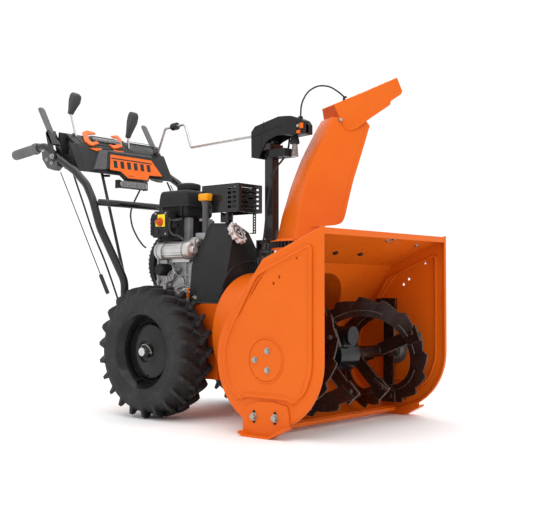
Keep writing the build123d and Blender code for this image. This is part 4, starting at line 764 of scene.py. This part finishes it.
# ---------------------------------------------------------------- housing and chute
HOUSING_HALF = 304.0
PANEL_R = 176.0               # of the side panels' round lower part, about the auger's centre
HEM_R = PANEL_R - 5
DIP_TOP = 72                  # height that the raised middle's dip over the skid shoe starts from
TOP_FRONT, TOP_BREAK = Vector((0, 535)), Vector((192, 457))
REAR_ANGLE = 32.3              # degrees above +y where the rear slope runs into the panels' round back
CHUTE_CENTRE = (40.0, 338.0)
CHUTE_HALF = 77.0
CHUTE_TURN = Matrix.Translation((*CHUTE_CENTRE, 0)) @ Matrix.Rotation(radians(-27), 4, "Z")
# the chute's channel from its foot up: rear corner (along the throw, z, half width), front edge (along, z)
SKIRT_LEVELS = [((-51, 522, 73), (0, 522)), ((-43, 558, 68.8), (0, 560))]
CHUTE_LEVELS = [((-44, 554, 69), (76, 566)), ((-41, 570, 67), (97, 574)), ((-36, 596, 64), (108, 594)),
                ((-24, 640, 59), (121, 645)), ((-11, 684, 56.5), (136, 700)), ((4, 724, 55), (149, 738)),
                ((20, 764, 53), (163, 780)), ((38, 802, 50.5), (176, 818)), ((58, 840, 47.5), (188, 856)),
                ((70, 864, 45.5), (191, 864)), ((85, 890, 43), (178, 879))]


def eased(corners, reach):
    """A closed row of points with every corner cut to a short curve that starts reach away from it."""
    rows = [Vector(c) for c in corners]
    line = []
    for i, corner in enumerate(rows):
        before, after = rows[i - 1] - corner, rows[(i + 1) % len(rows)] - corner
        start = corner + before.normalized() * min(reach, before.length * 0.45)
        stop = corner + after.normalized() * min(reach, after.length * 0.45)
        for step in range(5):
            t = step / 4
            line.append(start * (1 - t) ** 2 + corner * 2 * t * (1 - t) + stop * t * t)
    return line


def crossing(a, along_a, b, along_b):
    """Where two lines in side view meet."""
    cross = along_a.x * along_b.y - along_a.y * along_b.x
    gap = b - a
    return a + along_a * ((gap.x * along_b.y - gap.y * along_b.x) / cross)


def field_line(inset):
    """The edge of a side panel's raised middle, which dips over the skid shoe."""
    down = Vector((TOP_BREAK.y - TOP_FRONT.y, TOP_FRONT.x - TOP_BREAK.x)).normalized()
    slope = TOP_BREAK - TOP_FRONT
    tangent = Vector((cos(radians(REAR_ANGLE)), sin(radians(REAR_ANGLE))))
    centre = Vector(AUGER_CENTRE)
    r = PANEL_R - inset
    top_front = crossing(TOP_FRONT + down * inset, slope, Vector((inset, 0)), Vector((0, 1)))
    top_rear = crossing(TOP_FRONT + down * inset, slope, centre + tangent * r,
                        Vector((-tangent.y, tangent.x)))
    rear, front = [[centre + Vector((cos(radians(a)), sin(radians(a)))) * r for a in angles]
                   for angles in ((REAR_ANGLE, 12, -10, -30), (-150, -168))]
    dip = [(232 + inset, 92), (248, DIP_TOP + inset), (104, DIP_TOP + inset), (120 - inset, 92)]
    return eased([top_front, top_rear, *rear, *dip, *front, (inset, AUGER_Z)], 15)


def panel_trim():
    """Rolled bead round each side panel's raised middle, the rim's hem, and black blocks over the shoes as
    painted shade of slots.
    """
    beads, slots = [], []
    for side in (-1, 1):
        outer = [(side * (HOUSING_HALF + 2.4), y, z) for y, z in field_line(31)]
        step = [(side * (HOUSING_HALF + 3.4), y, z) for y, z in field_line(42)]
        inner = [(side * (HOUSING_HALF - 3), y, z) for y, z in field_line(36)]
        beads += [tube(outer, 5.0, 12, closed=True), tube(step, 1.6, 8, closed=True),
                  tube(inner, 4.0, 12, closed=True)]
        foot = [(AUGER_Y - HEM_R * cos(radians(a)), AUGER_Z - HEM_R * sin(radians(a)))
                for a in range(80, -1, -10)]
        hem = [(side * (HOUSING_HALF - 5.2), y, z) for y, z in [*foot, (5.2, 300), (5.2, 420), (5.2, 522)]]
        beads.append(tube(hem, 5.0, 12))
        ring = [(side * (HOUSING_HALF + 4.4), AUGER_Y + 57 * cos(a), AUGER_Z + 57 * sin(a))
                for a in full_turn(48)]
        beads.append(tube(ring, 2.2, 8, closed=True))
        # Black blocks over the shoes stand for slots: painted shade of their openings.
        for y in (144, 215):
            ends = sorted((side * (HOUSING_HALF + 0.2), side * (HOUSING_HALF + 3)))
            slots.append(block(*ends, y - 5, y + 5, 36, 68))
    piece("panel_beads", "chassis", [(joined(*beads), "orange_paint"), (joined(*slots), "black_plastic")],
          bevel=0)


def housing_bolts():
    """Bolt ends that show under the top sheet."""
    fall = Matrix.Rotation(-atan2(TOP_FRONT.y - TOP_BREAK.y, TOP_BREAK.x), 4, "X")
    ends = []
    for x, y, z in ((46, 36, 514), (59, 24, 519), (217, 50, 508)):
        place = Matrix.Translation((x, y, z)) @ fall
        ends.append(moved(bolt((0, 0, 0), "z", -1, 3.6), place))
    dark = []
    for x in (-81, 36):
        place = Matrix.Translation((x, 122, 479)) @ fall
        dark.append(moved(turned([(1, 0), (8, 0), (7, -5), (1, -6)], "z", (0, 0), 20), place))
    piece("top_sheet_bolts", "chassis", [(joined(*ends), "zinc_bolt"), (joined(*dark), "black_plastic")],
          bevel=0.3)


def in_chute(s, n, z):
    """From the chute's own frame, s along the throw and n across it, to the machine at rest."""
    return CHUTE_TURN @ Vector((s, n, z))


def chute_channel():
    """The chute: channel that narrows to the back and the top, folded edges, round foot, flange and studs."""
    def section(back, z, half, front, front_z):
        tilt = (front_z - z) / (front - back)
        side = (CHUTE_HALF - half) / (front - back)

        def corner(s, inset, way):
            n = half + side * (s - back) - inset
            return in_chute(s, way * n, z + tilt * (s - back))

        outer = [corner(front, 0, -1), corner(back + 9, 0, -1), corner(back + 2.5, 2.0, -1),
                 corner(back, 9, -1)]
        outer += [corner(back, 9, 1), corner(back + 2.5, 2.0, 1), corner(back + 9, 0, 1), corner(front, 0, 1)]
        inner = [corner(front, 3, 1), corner(back + 10, 3, 1), corner(back + 3, 10, 1),
                 corner(back + 3, 10, -1), corner(back + 10, 3, -1), corner(front, 3, -1)]
        return outer + inner

    rings = [section(*rear, *front) for rear, front in CHUTE_LEVELS]
    skirt = loft([section(*rear, *front) for rear, front in SKIRT_LEVELS])
    rows = [smooth_path([ring[i] for ring in rings], 3) for i in range(len(rings[0]))]
    channel = loft([list(ring) for ring in zip(*rows)])
    arc = [radians(10 * k) for k in range(-9, 10)]
    collar = [(72 * cos(a), 72 * sin(a)) for a in arc] + [(69 * cos(a), 69 * sin(a)) for a in reversed(arc)]
    foot = loft([[in_chute(s, n, z) for s, n in collar] for z in (521, 566)])
    flange = turned([(67, 518), (90, 518), (90, 521), (76, 522), (73, 527), (67, 521)], "z", CHUTE_CENTRE,
                    56, True)
    folds, studs = [], []
    for way in (-1, 1):
        fold = []
        for (back, z, half), (front, front_z) in CHUTE_LEVELS[1:-1]:
            share = 1 - 15 / (front - back)
            fold.append(in_chute(back + (front - back) * share, way * (half + (CHUTE_HALF - half) * share),
                                 z + (front_z - z) * share))
        folds.append(tube(smooth_path(fold, 3), 1.5, 8))
        studs.append(tube([in_chute(104, way * 46, 880), in_chute(104, way * 60, 880)], 5, 20))
    piece("chute_shell", "chute", [(joined(channel, skirt, foot, flange, *folds), "orange_paint"),
                                   (joined(*studs), "zinc_bolt")], bevel=0.7, replaces=["chute"], sharp=40)


# the deflector's sides in side view, (along the throw, z): the flat front and the flap that follows the chute
CAP_FRONT = [(180, 968), (282, 1016), (299, 979), (295, 968), (259, 944), (257, 933), (180, 881)]
CAP_FLAP = [(180, 968), (180, 881), (153, 858), (144, 853), (136, 850), (127, 850), (119, 854), (110, 869)]
CAP_REAR = (90, 928, 40)       # the top sheet's rear corner: along the throw, z and half width
CAP_HALF = 81.5
FLAP_START, FLAP_HALF, FLAP_FLARE = 110, 58, 0.335    # the flaps' rear end, its half width, and its widening


def deflector_cap():
    """The deflector: top sheet and two sides with rolled lower edges, and the cable's lug."""
    def on_side(point, way, inset):
        s, z = point
        half = min(CAP_HALF, FLAP_HALF + FLAP_FLARE * (s - FLAP_START))
        return in_chute(s, way * (half - inset), z)

    sides, lips = [], []
    for way in (-1, 1):
        for part in (CAP_FRONT, CAP_FLAP):
            sides.append(loft([[on_side(p, way, inset) for p in part] for inset in (0, 3)]))
        gusset = []
        for inset in (0, 3):
            rear = in_chute(CAP_REAR[0], way * (CAP_REAR[2] - inset), CAP_REAR[1])
            gusset.append([rear, on_side(CAP_FLAP[0], way, inset), on_side(CAP_FLAP[-1], way, inset)])
        sides.append(loft(gusset))
        lips.append(tube([on_side(p, way, 0.4) for p in [*CAP_FRONT[2:], *CAP_FLAP[2:]]], 1.7, 8))
    rows = [(CAP_REAR[0], CAP_REAR[2], CAP_REAR[1]), (180, CAP_HALF, 968), (282, CAP_HALF, 1016)]
    top = loft([[in_chute(s, -half, z), in_chute(s, half, z), in_chute(s, half - 0.5, z - 3.2),
                 in_chute(s, 0.5 - half, z - 3.2)] for s, half, z in rows])
    mouth = tube([in_chute(282, way * 78, 1014) for way in (-1, 1)], 2.2, 10)
    lug = tube([in_chute(143, 0, 946), in_chute(145, 0, 961), in_chute(152, 0, 962)], 4, 12)
    piece("deflector_cap", "deflector", [(joined(*sides, top, *lips, mouth), "orange_paint"),
                                         (lug, "black_plastic")], bevel=0.6, replaces=["deflector"], sharp=28)


def head_trim():
    """Ridge, seam and window of the hood, the ribbed boot under its nose and the block behind it."""
    ridge = tube([(4.6, 388, 868), (4.6, 440, 858), (4.6, 500, 842)], 1.4, 8)
    seam = tube([(4.6, 452, 886), (4.6, 458, 850), (4.6, 470, 786)], 0.9, 8)
    window = joined(block(17, 34, 308, 324, 852, 868), block(14, 30, 322, 334, 838, 847))
    frame_bars = joined(block(15, 36, 305, 309, 838, 872), block(12.5, 20, 333, 337, 836, 874))
    pivot = turned([(0.5, 12), (5, 12), (5, 18), (0.5, 19)], "x", (328, 860), 24)
    rings = []
    for k in range(9):
        z = 774 + 4.6 * k
        rings += [(11.5 - 0.3 * k, z), (9.5 - 0.3 * k, z + 2.3)]
    boot = turned([(1, 774), *rings, (1, 815)], "z", (40, 360), 28)
    cap = turned([(1, 812), (14, 812), (14, 820), (10, 836), (1, 836)], "z", (40, 360), 28)
    under = loft([[(x, y, z) for x, y in ((14, 378), (66, 378), (66, 440), (14, 440))] for z in (776, 800)])
    clip = moved(washer(5, 7, -5, 5, "z", (0, 0), 20), Matrix.Translation((20, 430, 722)))
    piece("head_cover_trim", "chassis", [(joined(ridge, seam, cap, under, clip, frame_bars),
                                          "black_plastic"), (window, "trim_orange"), (pivot, "zinc_bolt"),
                                         (boot, "ribbed_grey")], bevel=0.5)


def make_housing():
    panel_trim()
    housing_bolts()
    chute_channel()
    deflector_cap()
    head_trim()


# ---------------------------------------------------------------- engine
CHOKE, BUTTON = (736.0, 586.0), (748.0, 556.0)
FILL, FUEL_NECK = (-82.0, 612.0), (-40, 725)
STARTER = (-133.0, 497.0)
BADGE = (-46.0, 509.0, 550.0)


def rounded(x0, x1, y0, y1, r, z, inset=0.0, corner=6):
    """A level rounded rectangle of points."""
    ring = []
    for cx, cy, start in ((x1 - r, y1 - r, 0), (x0 + r, y1 - r, 90), (x0 + r, y0 + r, 180),
                          (x1 - r, y0 + r, 270)):
        for i in range(corner + 1):
            a = radians(start + 90 * i / corner)
            ring.append((cx + (r - inset) * cos(a), cy + (r - inset) * sin(a), z))
    return ring


def cushion(x0, x1, y0, y1, r, levels):
    """A solid whose level sections are rounded rectangles; levels are (z, inset)."""
    return loft([rounded(x0, x1, y0, y1, r, z, inset) for z, inset in levels])


def about_crank(turn):
    """Turns a shape drawn about the Y axis and moves it to the crankshaft."""
    return Matrix.Translation((0, 0, CRANK_Z)) @ Matrix.Rotation(turn, 4, "Y")


def spans(low, high, slots):
    """What is left of low..high when the slots are taken out."""
    edges = [low] + [edge for slot in slots for edge in slot] + [high]
    return list(zip(edges[::2], edges[1::2]))


def slotted(make, u0, u1, v0, v1, columns, rows):
    """A plate with a grid of slots; make turns (u0, u1, v0, v1) into a block."""
    bars = [make(a, b, v0, v1) for a, b in spans(u0, u1, columns)]
    bars += [make(a, b, c, d) for a, b in columns for c, d in spans(v0, v1, rows)]
    return joined(*bars)


def crankcase():
    """Crankcase with ribs, plugs and bolts, the leaning finned cylinder, its head, plug and valve cover."""
    cast = [block(-118, 104, 624, 812, 337, 352), block(-102, 92, 630, 804, 350, 528)]
    cast += [block(-107, -101, y, y + 4, 356, 520) for y in (640, 668, 724, 752, 792)]
    cast += [block(-107, -101, 632, 802, z, z + 4) for z in (372, 420, 512)]
    cast += [turned([(0.5, -101), (26, -101), (26, -109), (22, -111), (0.5, -111)], "x", (700, 396), 40),
             disc(13, -101, -113, "x", (764, 386), 28),
             turned([(0.5, -101), (11, -101), (9, -116), (0.5, -116)], "x", (660, 470), 28)]
    cast += [turned([(12.8, 618), (34, 618), (36, 630), (12.8, 630)], "y", (0, CRANK_Z), 48, True),
             block(-95, -69, 601, 640, 530, 551)]
    cast += [block(x0, x1, y0, y1, 520, 600) for x0, x1, y0, y1 in
             ((-96, -78, 668, 690), (-10, 10, 668, 690), (-96, -78, 752, 774))]
    barrel = Matrix.Translation((92, 735, 474)) @ Matrix.Rotation(radians(62), 4, "Y")
    fins = [moved(block(-46, 46, -50, 50, -59, 46), barrel)]
    fins += [moved(block(-56, 56, -58, 58, h, h + 3.5), barrel) for h in range(-22, 42, 9)]
    fins += [moved(block(-60, 60, -64, 64, h, h + 4), barrel) for h in (46, 56, 66)]
    fins.append(moved(block(-40, 40, -46, 46, 70, 86), barrel))
    bolts = [bolt((-107, y, z), "x", -1, 3.4) for y, z in ((646, 404), (646, 440), (700, 440), (792, 404),
                                                           (792, 500), (672, 520), (738, 396))]
    bolts += [bolt((x, y, 352), "z", 1, 4) for x in (-111, 98) for y in (634, 802)]
    bolts += [moved(bolt((u, v, 86), "z", 1, 3), barrel) for u in (-34, 34) for v in (-38, 38)]
    plug = [moved(tube([(20, -46, 74), (20, -78, 84), (8, -92, 92)], [9, 7, 6]), barrel)]
    filters = turned([(0.5, -101), (17, -101), (19, -106), (19, -140), (15, -146), (0.5, -146)], "x",
                     (752, 440), 36)
    parts = [(joined(*cast), "engine_casting"), (joined(*fins), "engine_casting"),
             (joined(*bolts), "zinc_bolt"), (joined(*plug), "black_plastic"), (filters, "black_plastic")]
    piece("crankcase_casting", "chassis", parts, bevel=1.4, replaces=["engine_block"])


def linkages():
    """Governor spring, throttle wires, a bank of cooling vanes and a small orange lever."""
    coil = [(-112 + 4.5 * cos(a), 652 + 1.1 * a, 372 + 4.5 * sin(a)) for a in (0.45 * i for i in range(130))]
    wires = [tube(coil, 0.9, 6), tube([(-114, 640, 384), (-120, 668, 392), (-114, 706, 380)], 1.6, 8),
             tube([(-116, 626, 366), (-124, 640, 372), (-124, 676, 366), (-116, 700, 372)], 1.6, 8),
             tube(smooth_path([(-108, 716, 470), (-122, 712, 452), (-124, 700, 430), (-112, 690, 416)]),
                  1.8, 8)]
    vanes = []
    for i in range(5):
        y, z = 742 - 7 * i, 396 + 3 * i
        vanes.append(prism([(y, z), (y + 2.6, z + 1), (y - 9, z + 36), (y - 11.6, z + 35)], "x", -122, -107))
    plate = [block(-118, -104, 650, 700, 358, 361), block(-110, -107, 640, 690, 361, 384),
             disc(7, -112, -104, "x", (664, 376), 24)]
    lever = prism([(640, 352), (646, 350), (650, 366), (645, 384), (638, 382), (641, 366)], "x", -124, -119)
    parts = [(joined(*wires, *plate), "steel"), (joined(*vanes), "steel"), (lever, "trim_orange")]
    piece("governor_linkage", "chassis", parts, bevel=0.4)


def recoil():
    """Fan housing with a toothed rim, and the rewind starter's louvred dome with its rope guide."""
    centre = (0, CRANK_Z)
    shell = [turned([(0.5, 812), (107, 812), (110, 815), (110, 832), (105, 839), (79, 842), (76, 848),
                     (75, 864), (70, 870), (26, 872), (22, 868), (0.5, 868)], "y", centre, 90),
             block(-60, 70, 812, 840, 352, 440)]
    # slots are black strips laid flush beside the slats: painted shade of the louvre openings.
    slats, slots = [], []
    slat = loft([[(x, 868, -2), (x, 872.6, 3), (x, 870, 4)] for x in (36, 64)])
    for turn in full_turn(16):
        slats.append(moved(slat, about_crank(turn)))
        slots.append(moved(block(37, 63, 870.5, 871.2, 4, 9), about_crank(turn)))
    # The rim's teeth are a lighter grey than the shell: painted highlight along the toothed rim.
    teeth = [moved(block(101, 107, 813, 841, -1.6, 1.6), about_crank(turn)) for turn in full_turn(48)]
    guide = joined(block(15, 45, 838, 872, 545, 562), block(18, 42, 868, 872.4, 558, 588),
                   washer(4, 9, 872, 873, "y", (30, 576), 24))
    nuts = [bolt((84 * cos(a), 841, CRANK_Z + 84 * sin(a)), "y", 1, 3.2) for a in (0.7, 2.4, 3.9, 5.5)]
    parts = [(joined(*shell, *slats, guide), "grey_plastic"), (joined(*teeth), "trim_grey"),
             (joined(*slots), "black_plastic"), (joined(*nuts), "zinc_bolt")]
    piece("rewind_housing", "chassis", parts, bevel=0.9, replaces=["recoil_housing"])
    rings = []
    for x, half_y, half_z in ((-10, 3, 3), (-8, 6, 7), (0, 8.6, 9.6), (20, 7.4, 8), (40, 7.4, 8),
                              (60, 8.6, 9.6), (68, 6, 7), (70, 3, 3)):
        rings.append([(x, 882 + half_y * cos(a), 576 + half_z * sin(a)) for a in full_turn(20)])
    rope = tube([(30, 874, 576), (30, 882, 576)], 2.2, 10)
    piece("rope_handle", "recoil_grip", [(loft(rings), "black_plastic"), (rope, "cable_black")], bevel=0.5,
          replaces=["recoil_grip"])


def starter():
    """Electric starter: fluted body, two end caps, a bolted ear and its cable boss."""
    x, z = STARTER
    plain, fluted = [24.0] * 48, [25 if i % 3 else 23.2 for i in range(48)]
    body = [[(x + r * cos(a), y, z + r * sin(a)) for r, a in zip(radii, full_turn(48))]
            for y, radii in ((632, plain), (636, fluted), (726, fluted), (730, plain))]
    front = turned([(0.5, 604), (11, 604), (12, 606), (12, 614), (22, 615), (27, 619), (28, 624), (28, 633),
                    (26, 635), (0.5, 635)], "y", STARTER, 48)
    rear = turned([(0.5, 727), (26, 727), (28, 729), (28, 748), (26, 758), (20, 763), (0.5, 764)], "y",
                  STARTER, 48)
    ear = joined(prism([(x + 6, z + 10), (x + 36, z + 14), (x + 34, z + 38), (x + 14, z + 40),
                        (x + 4, z + 30)], "y", 613, 632), disc(8, 611, 634, "y", (x + 22, z + 28), 28))
    seams = [washer(r, r + 1.4, y, y + 2.5, "y", STARTER, 48) for r, y in ((27, 636), (27, 722), (27.4, 744))]
    through = [tube([(x - 22 * cos(a), 616, z + 22 * sin(a)), (x - 22 * cos(a), 620, z + 22 * sin(a))], 4, 6)
               for a in (0.4, -0.7)]
    foot = block(-122, -103, 640, 716, 462, 478)
    parts = [(joined(loft(body), front, rear, ear, foot), "motor_metal"), (joined(*seams), "gear_iron"),
             (joined(*through, bolt((x + 22, 611, z + 28), "y", -1, 3.4)), "zinc_bolt"),
             (tube(smooth_path([(x - 10, 750, z + 24), (x - 4, 748, z + 44), (x + 8, 742, z + 52)]), 4, 10),
              "cable_black")]
    piece("starter_body", "chassis", parts, bevel=1.0, replaces=["starter_motor"])


def tank():
    """Blow-moulded tank with a seam flange and filler neck, and its ribbed cap."""
    lower = cushion(-114, 12, 664, 780, 16, ((600, 12), (603, 6), (610, 1), (634, 0)))
    seam = cushion(-122, 20, 655, 796, 18, ((632.6, 1), (634, 0), (637, 0), (638.4, 1)))
    upper = cushion(-118, 16, 660, 790, 18, ((637, 0), (660, 2), (676, 5), (682, 8), (685, 12), (686, 16)))
    neck = turned([(20, 684), (27, 684), (27, 688), (24.2, 690), (24.2, 700), (20, 700)], "z", FUEL_NECK,
                  48, True)
    straps = [block(-121.5, -117.5, y, y + 5, 604, 634) for y in (676, 770)]
    parts = [(joined(lower, seam, upper), "black_plastic"), (joined(neck, *straps), "grey_plastic")]
    piece("fuel_tank_shell", "chassis", parts, bevel=0.8, replaces=["fuel_tank"], sharp=50)
    x, y = FUEL_NECK
    rings = []
    for z, r, dip in ((690, 35.5, 0), (691, 37, 1.5), (706, 37.6, 2.0), (708, 36, 0), (710, 33, 0),
                      (711, 30, 0), (711, 24, 0), (713, 22, 0), (714, 18, 0), (714, 0.5, 0)):
        rings.append([(x + (r - dip * (i % 2)) * cos(a), y + (r - dip * (i % 2)) * sin(a), z)
                      for i, a in enumerate(full_turn(72))])
    wings = block(-64, -16, 722, 728, 708, 713.5)
    piece("fuel_cap_shell", "fuel_cap", [(loft(rings), "grey_plastic"), (wings, "grey_plastic")], bevel=0.5,
          replaces=["fuel_cap"], sharp=50)


def control_panel():
    """Side control box with its label, screws and lever tube, the carburettor box and the air cleaner."""
    panel = joined(block(-150, -116, 704, 766, 541, 620), block(-152, -149, 709, 761, 546, 615))
    duct = [block(-124, 40, 690, 800, 541, 598), block(-116, -60, 690, 780, 530, 542)]
    duct += [block(-126, -122, y, y + 3, 548, 596) for y in (692, 698)]
    cleaner = [cushion(-132, -40, 784, 808, 9, ((546, 5), (549, 0), (600, 0), (612, 3), (618, 8)))]
    cleaner += [block(-133, -129, 788, 804, z, z + 3) for z in (560, 572, 584, 596)]
    label = prism([(757, 573), (757, 592), (748, 592), (748, 609), (716, 609), (716, 571)], "x", -152.8,
                  -151.8)
    screws = [disc(3.4, -153.5, -152, "x", place, 16) for place in ((713, 612), (713, 549), (757, 612))]
    lever = [tube(smooth_path([(-140, 704, 597), (-147, 700, 590), (-147, 700, 562), (-144, 690, 547),
                               (-140, 668, 541), (-136, 650, 528)]), 3.6, 12),
             tube([(-142, 700, 590), (-138, 668, 590), (-136, 655, 593)], 4.2, 12)]
    boot = turned([(5, 704), (13, 704), (12, 697), (9, 694), (8, 686), (5, 684)], "y", (-128, 575), 28, True)
    parts = [(joined(panel, *duct, *cleaner, boot), "black_plastic"), (label, "label_yellow"),
             (joined(*screws), "zinc_bolt"), (joined(*lever), "gloss_black")]
    piece("control_panel", "chassis", parts, bevel=1.6, replaces=["control_box"])
    y, z = CHOKE
    dial = [turned([(0.5, -150.3), (13, -150.3), (13.4, -153), (12.4, -158), (0.5, -158)], "x", CHOKE, 40),
            block(-166, -157, y - 11, y + 11, z - 3.2, z + 3.2)]
    piece("choke_dial", "choke_knob", [(joined(*dial), "choke_red")], bevel=0.8, replaces=["choke_knob"])
    cap = turned([(0.5, -132), (7.9, -132), (7.9, -153), (7, -155.4), (3, -156), (0.5, -155.5)], "x",
                 BUTTON, 32)
    piece("starter_button", "start_button", [(cap, "black_plastic")], bevel=0.3, replaces=["start_button"])


def oil_filler():
    """Grey filler tube with a flared top, and the dipstick's grooved cap."""
    x, y = FILL
    tube_shape = turned([(5.1, 536), (7, 536), (7, 551), (9.4, 553), (9.4, 628), (10, 634), (12, 641),
                         (12, 648), (5.1, 648)], "z", FILL, 36, True)
    clamp = joined(block(x - 12, x + 12, y + 4, y + 14, 586, 594), bolt((x + 13, y + 8, 590), "x", 1, 2.4))
    piece("oil_filler_tube", "chassis", [(tube_shape, "trim_grey"), (clamp, "zinc_bolt")], bevel=0.5,
          replaces=["oil_fill_tube"])
    cap = cushion(x - 15, x + 15, y - 20, y + 20, 8, ((648.6, 3), (650, 1.5), (666, 0), (668, 0.6), (670, 3)))
    grooves = [block(x - 15.6, x + 15.6, y - 12 + 8 * i, y - 9 + 8 * i, 651, 668) for i in range(4)]
    stick = tube([(x, y, 556), (x, y, 650)], 2.2, 10)
    piece("dipstick_cap", "dipstick", [(joined(cap, *grooves), "cap_yellow"), (stick, "steel")], bevel=0.7,
          replaces=["dipstick"], sharp=50)


def gear_badge():
    """A generic toothed disc with a ring and a triangle in it."""
    rows = []
    for h, grow in ((-14, -3), (0, 0), (2.2, -1.2)):
        rows.append([((r + grow) * cos(a), (r + grow) * sin(a), h) for r,
                     a in [((37 if k % 4 in (1, 2) else 30), 2 * pi * (k + 0.5 * (k % 2)) / 40)
                           for k in range(40)]])
    ring = washer(20, 23.5, 2, 3.4, "z", (0, 0), 40)
    sign = [moved(block(-12, 12, -2.4, 2.4, 2, 3.4), Matrix.Rotation(a, 4,
                                                                     "Z") @ Matrix.Translation((0, -7, 0)))
            for a in full_turn(3)]
    facing = Vector((0.15, -0.85, 0.50)).to_track_quat("Z", "X").to_matrix().to_4x4()
    place = Matrix.Translation(BADGE) @ facing
    return moved(loft(rows), place), moved(joined(ring, *sign), place)


def belt_guard():
    """Faceted cover with its side panel, foot rim, badge, screws, knob and seal."""
    levels = [(337, -150, -124, 92, 150, 508, 582, 612), (452, -140, -92, 74, 134, 508, 584, 612),
              (553, -90, -60, 8, 66, 516, 584, 598), (580, -74, -50, -4, 44, 558, 588, 596)]
    rows = []
    for z, left, left_front, right_front, right, front, shoulder, rear in levels:
        rows.append([(left, rear, z), (left, shoulder, z), (left_front, front, z), (right_front, front, z),
                     (right, shoulder, z), (right, rear, z)])
    shell = loft(rows)
    panel = loft([[(-148, 580, 345), (-126, 513, 345), (-126, 516, 345), (-147, 582, 345)],
                  [(-146, 578, 400), (-118, 516, 372), (-118, 518, 372), (-145, 580, 400)]])
    rim_bar = joined(block(-151.5, -148, 584, 612, 337, 341),
                     tube([(-149, 584, 338), (-124, 509, 338), (92, 509, 338), (149, 584, 338)], 2.4, 8))
    badge, sign = gear_badge()
    screws = [bolt((-148.4, 592, 352), "x", -1, 4.6), bolt((148.4, 592, 352), "x", 1, 4.6),
              bolt((66, 508, 470), "y", -1, 3.4)]
    knob = turned([(0.5, 512), (7, 512), (8, 505), (5, 501), (0.5, 500)], "y", (64, 520), 20)
    seal = tube(smooth_path([(-130, 506.5, 360), (-112, 506.5, 402), (-76, 506.5, 440), (-20, 506.5, 462),
                             (40, 506.5, 462)]), 3.0, 8)
    parts = [(joined(shell, rim_bar, panel), "grey_plastic"), (badge, "badge_silver"),
             (joined(sign, knob), "black_plastic"), (joined(*screws), "zinc_bolt"), (seal, "black_plastic")]
    piece("belt_guard_shell", "chassis", parts, bevel=2.2, steps=3, replaces=["belt_cover"], sharp=20)


def exhaust():
    """Muffler can with its seam and pipe, and the slotted guard with its perforated strap."""
    can = [cushion(-48, 38, 508, 638, 12, ((622, 8), (625, 2), (654, 0), (687, 2), (690, 8))),
           cushion(-51, 41, 505, 641, 14, ((654, 0), (657, 0))),
           tube([(24, 610, 632), (24, 610, 600), (36, 622, 590), (84, 672, 560)], 12, 20),
           washer(10, 16, 508, 503, "y", (-20, 640), 28)]
    piece("muffler_can", "chassis", [(joined(*can), "black_paint")], bevel=1.0, replaces=["muffler"],
          sharp=50)
    rows = [(624 + 14 * i, 632 + 14 * i) for i in range(5)]

    def front_block(a, b, c, d):
        return block(a, b, 497, 499.5, c, d)

    front = slotted(front_block, -60, 50, 612, 698, [(-46, 36)], rows)
    cheeks = [slotted(lambda a, b, c, d: block(x, x + 2.5, a, b, c, d), 497, 648, 612, 698,
                      [(506, 520), (526, 540)], rows) for x in (-60, 47.5)]
    top = slotted(lambda a, b, c, d: block(a, b, c, d, 695.5, 698), -60, 50, 497, 648, [(-50, 40)],
                  [(508 + 14 * i, 516 + 14 * i) for i in range(9)])
    centre = joined(block(-14, 12, 498, 502, 620, 664), block(-22, 20, 498, 501, 650, 658))
    legs = [block(-52, -20, 574, 577, 583, 613), block(-60, -54, 540, 548, 583, 613),
            slotted(front_block, 8, 22, 548, 614, [(12, 18)], [(552 + 8 * i, 556 + 8 * i) for i in range(7)]),
            block(8, 22, 499, 512, 548, 551)]
    rolled = [tube([(x, 499, 613), (x, 499, 697)], 2.6, 10) for x in (-58, 48)]
    piece("heat_shield", "chassis", [(joined(front, *cheeks, top, centre, *legs, *rolled), "black_paint")],
          bevel=0.5, replaces=["muffler_guard"])


def make_engine():
    crankcase()
    linkages()
    recoil()
    starter()
    tank()
    control_panel()
    oil_filler()
    belt_guard()
    exhaust()


make_camera()
MATERIALS = make_materials()
make_stage()
dress_cad_nodes()
make_housing()
make_wheels()
make_augers()
make_controls()
make_engine()
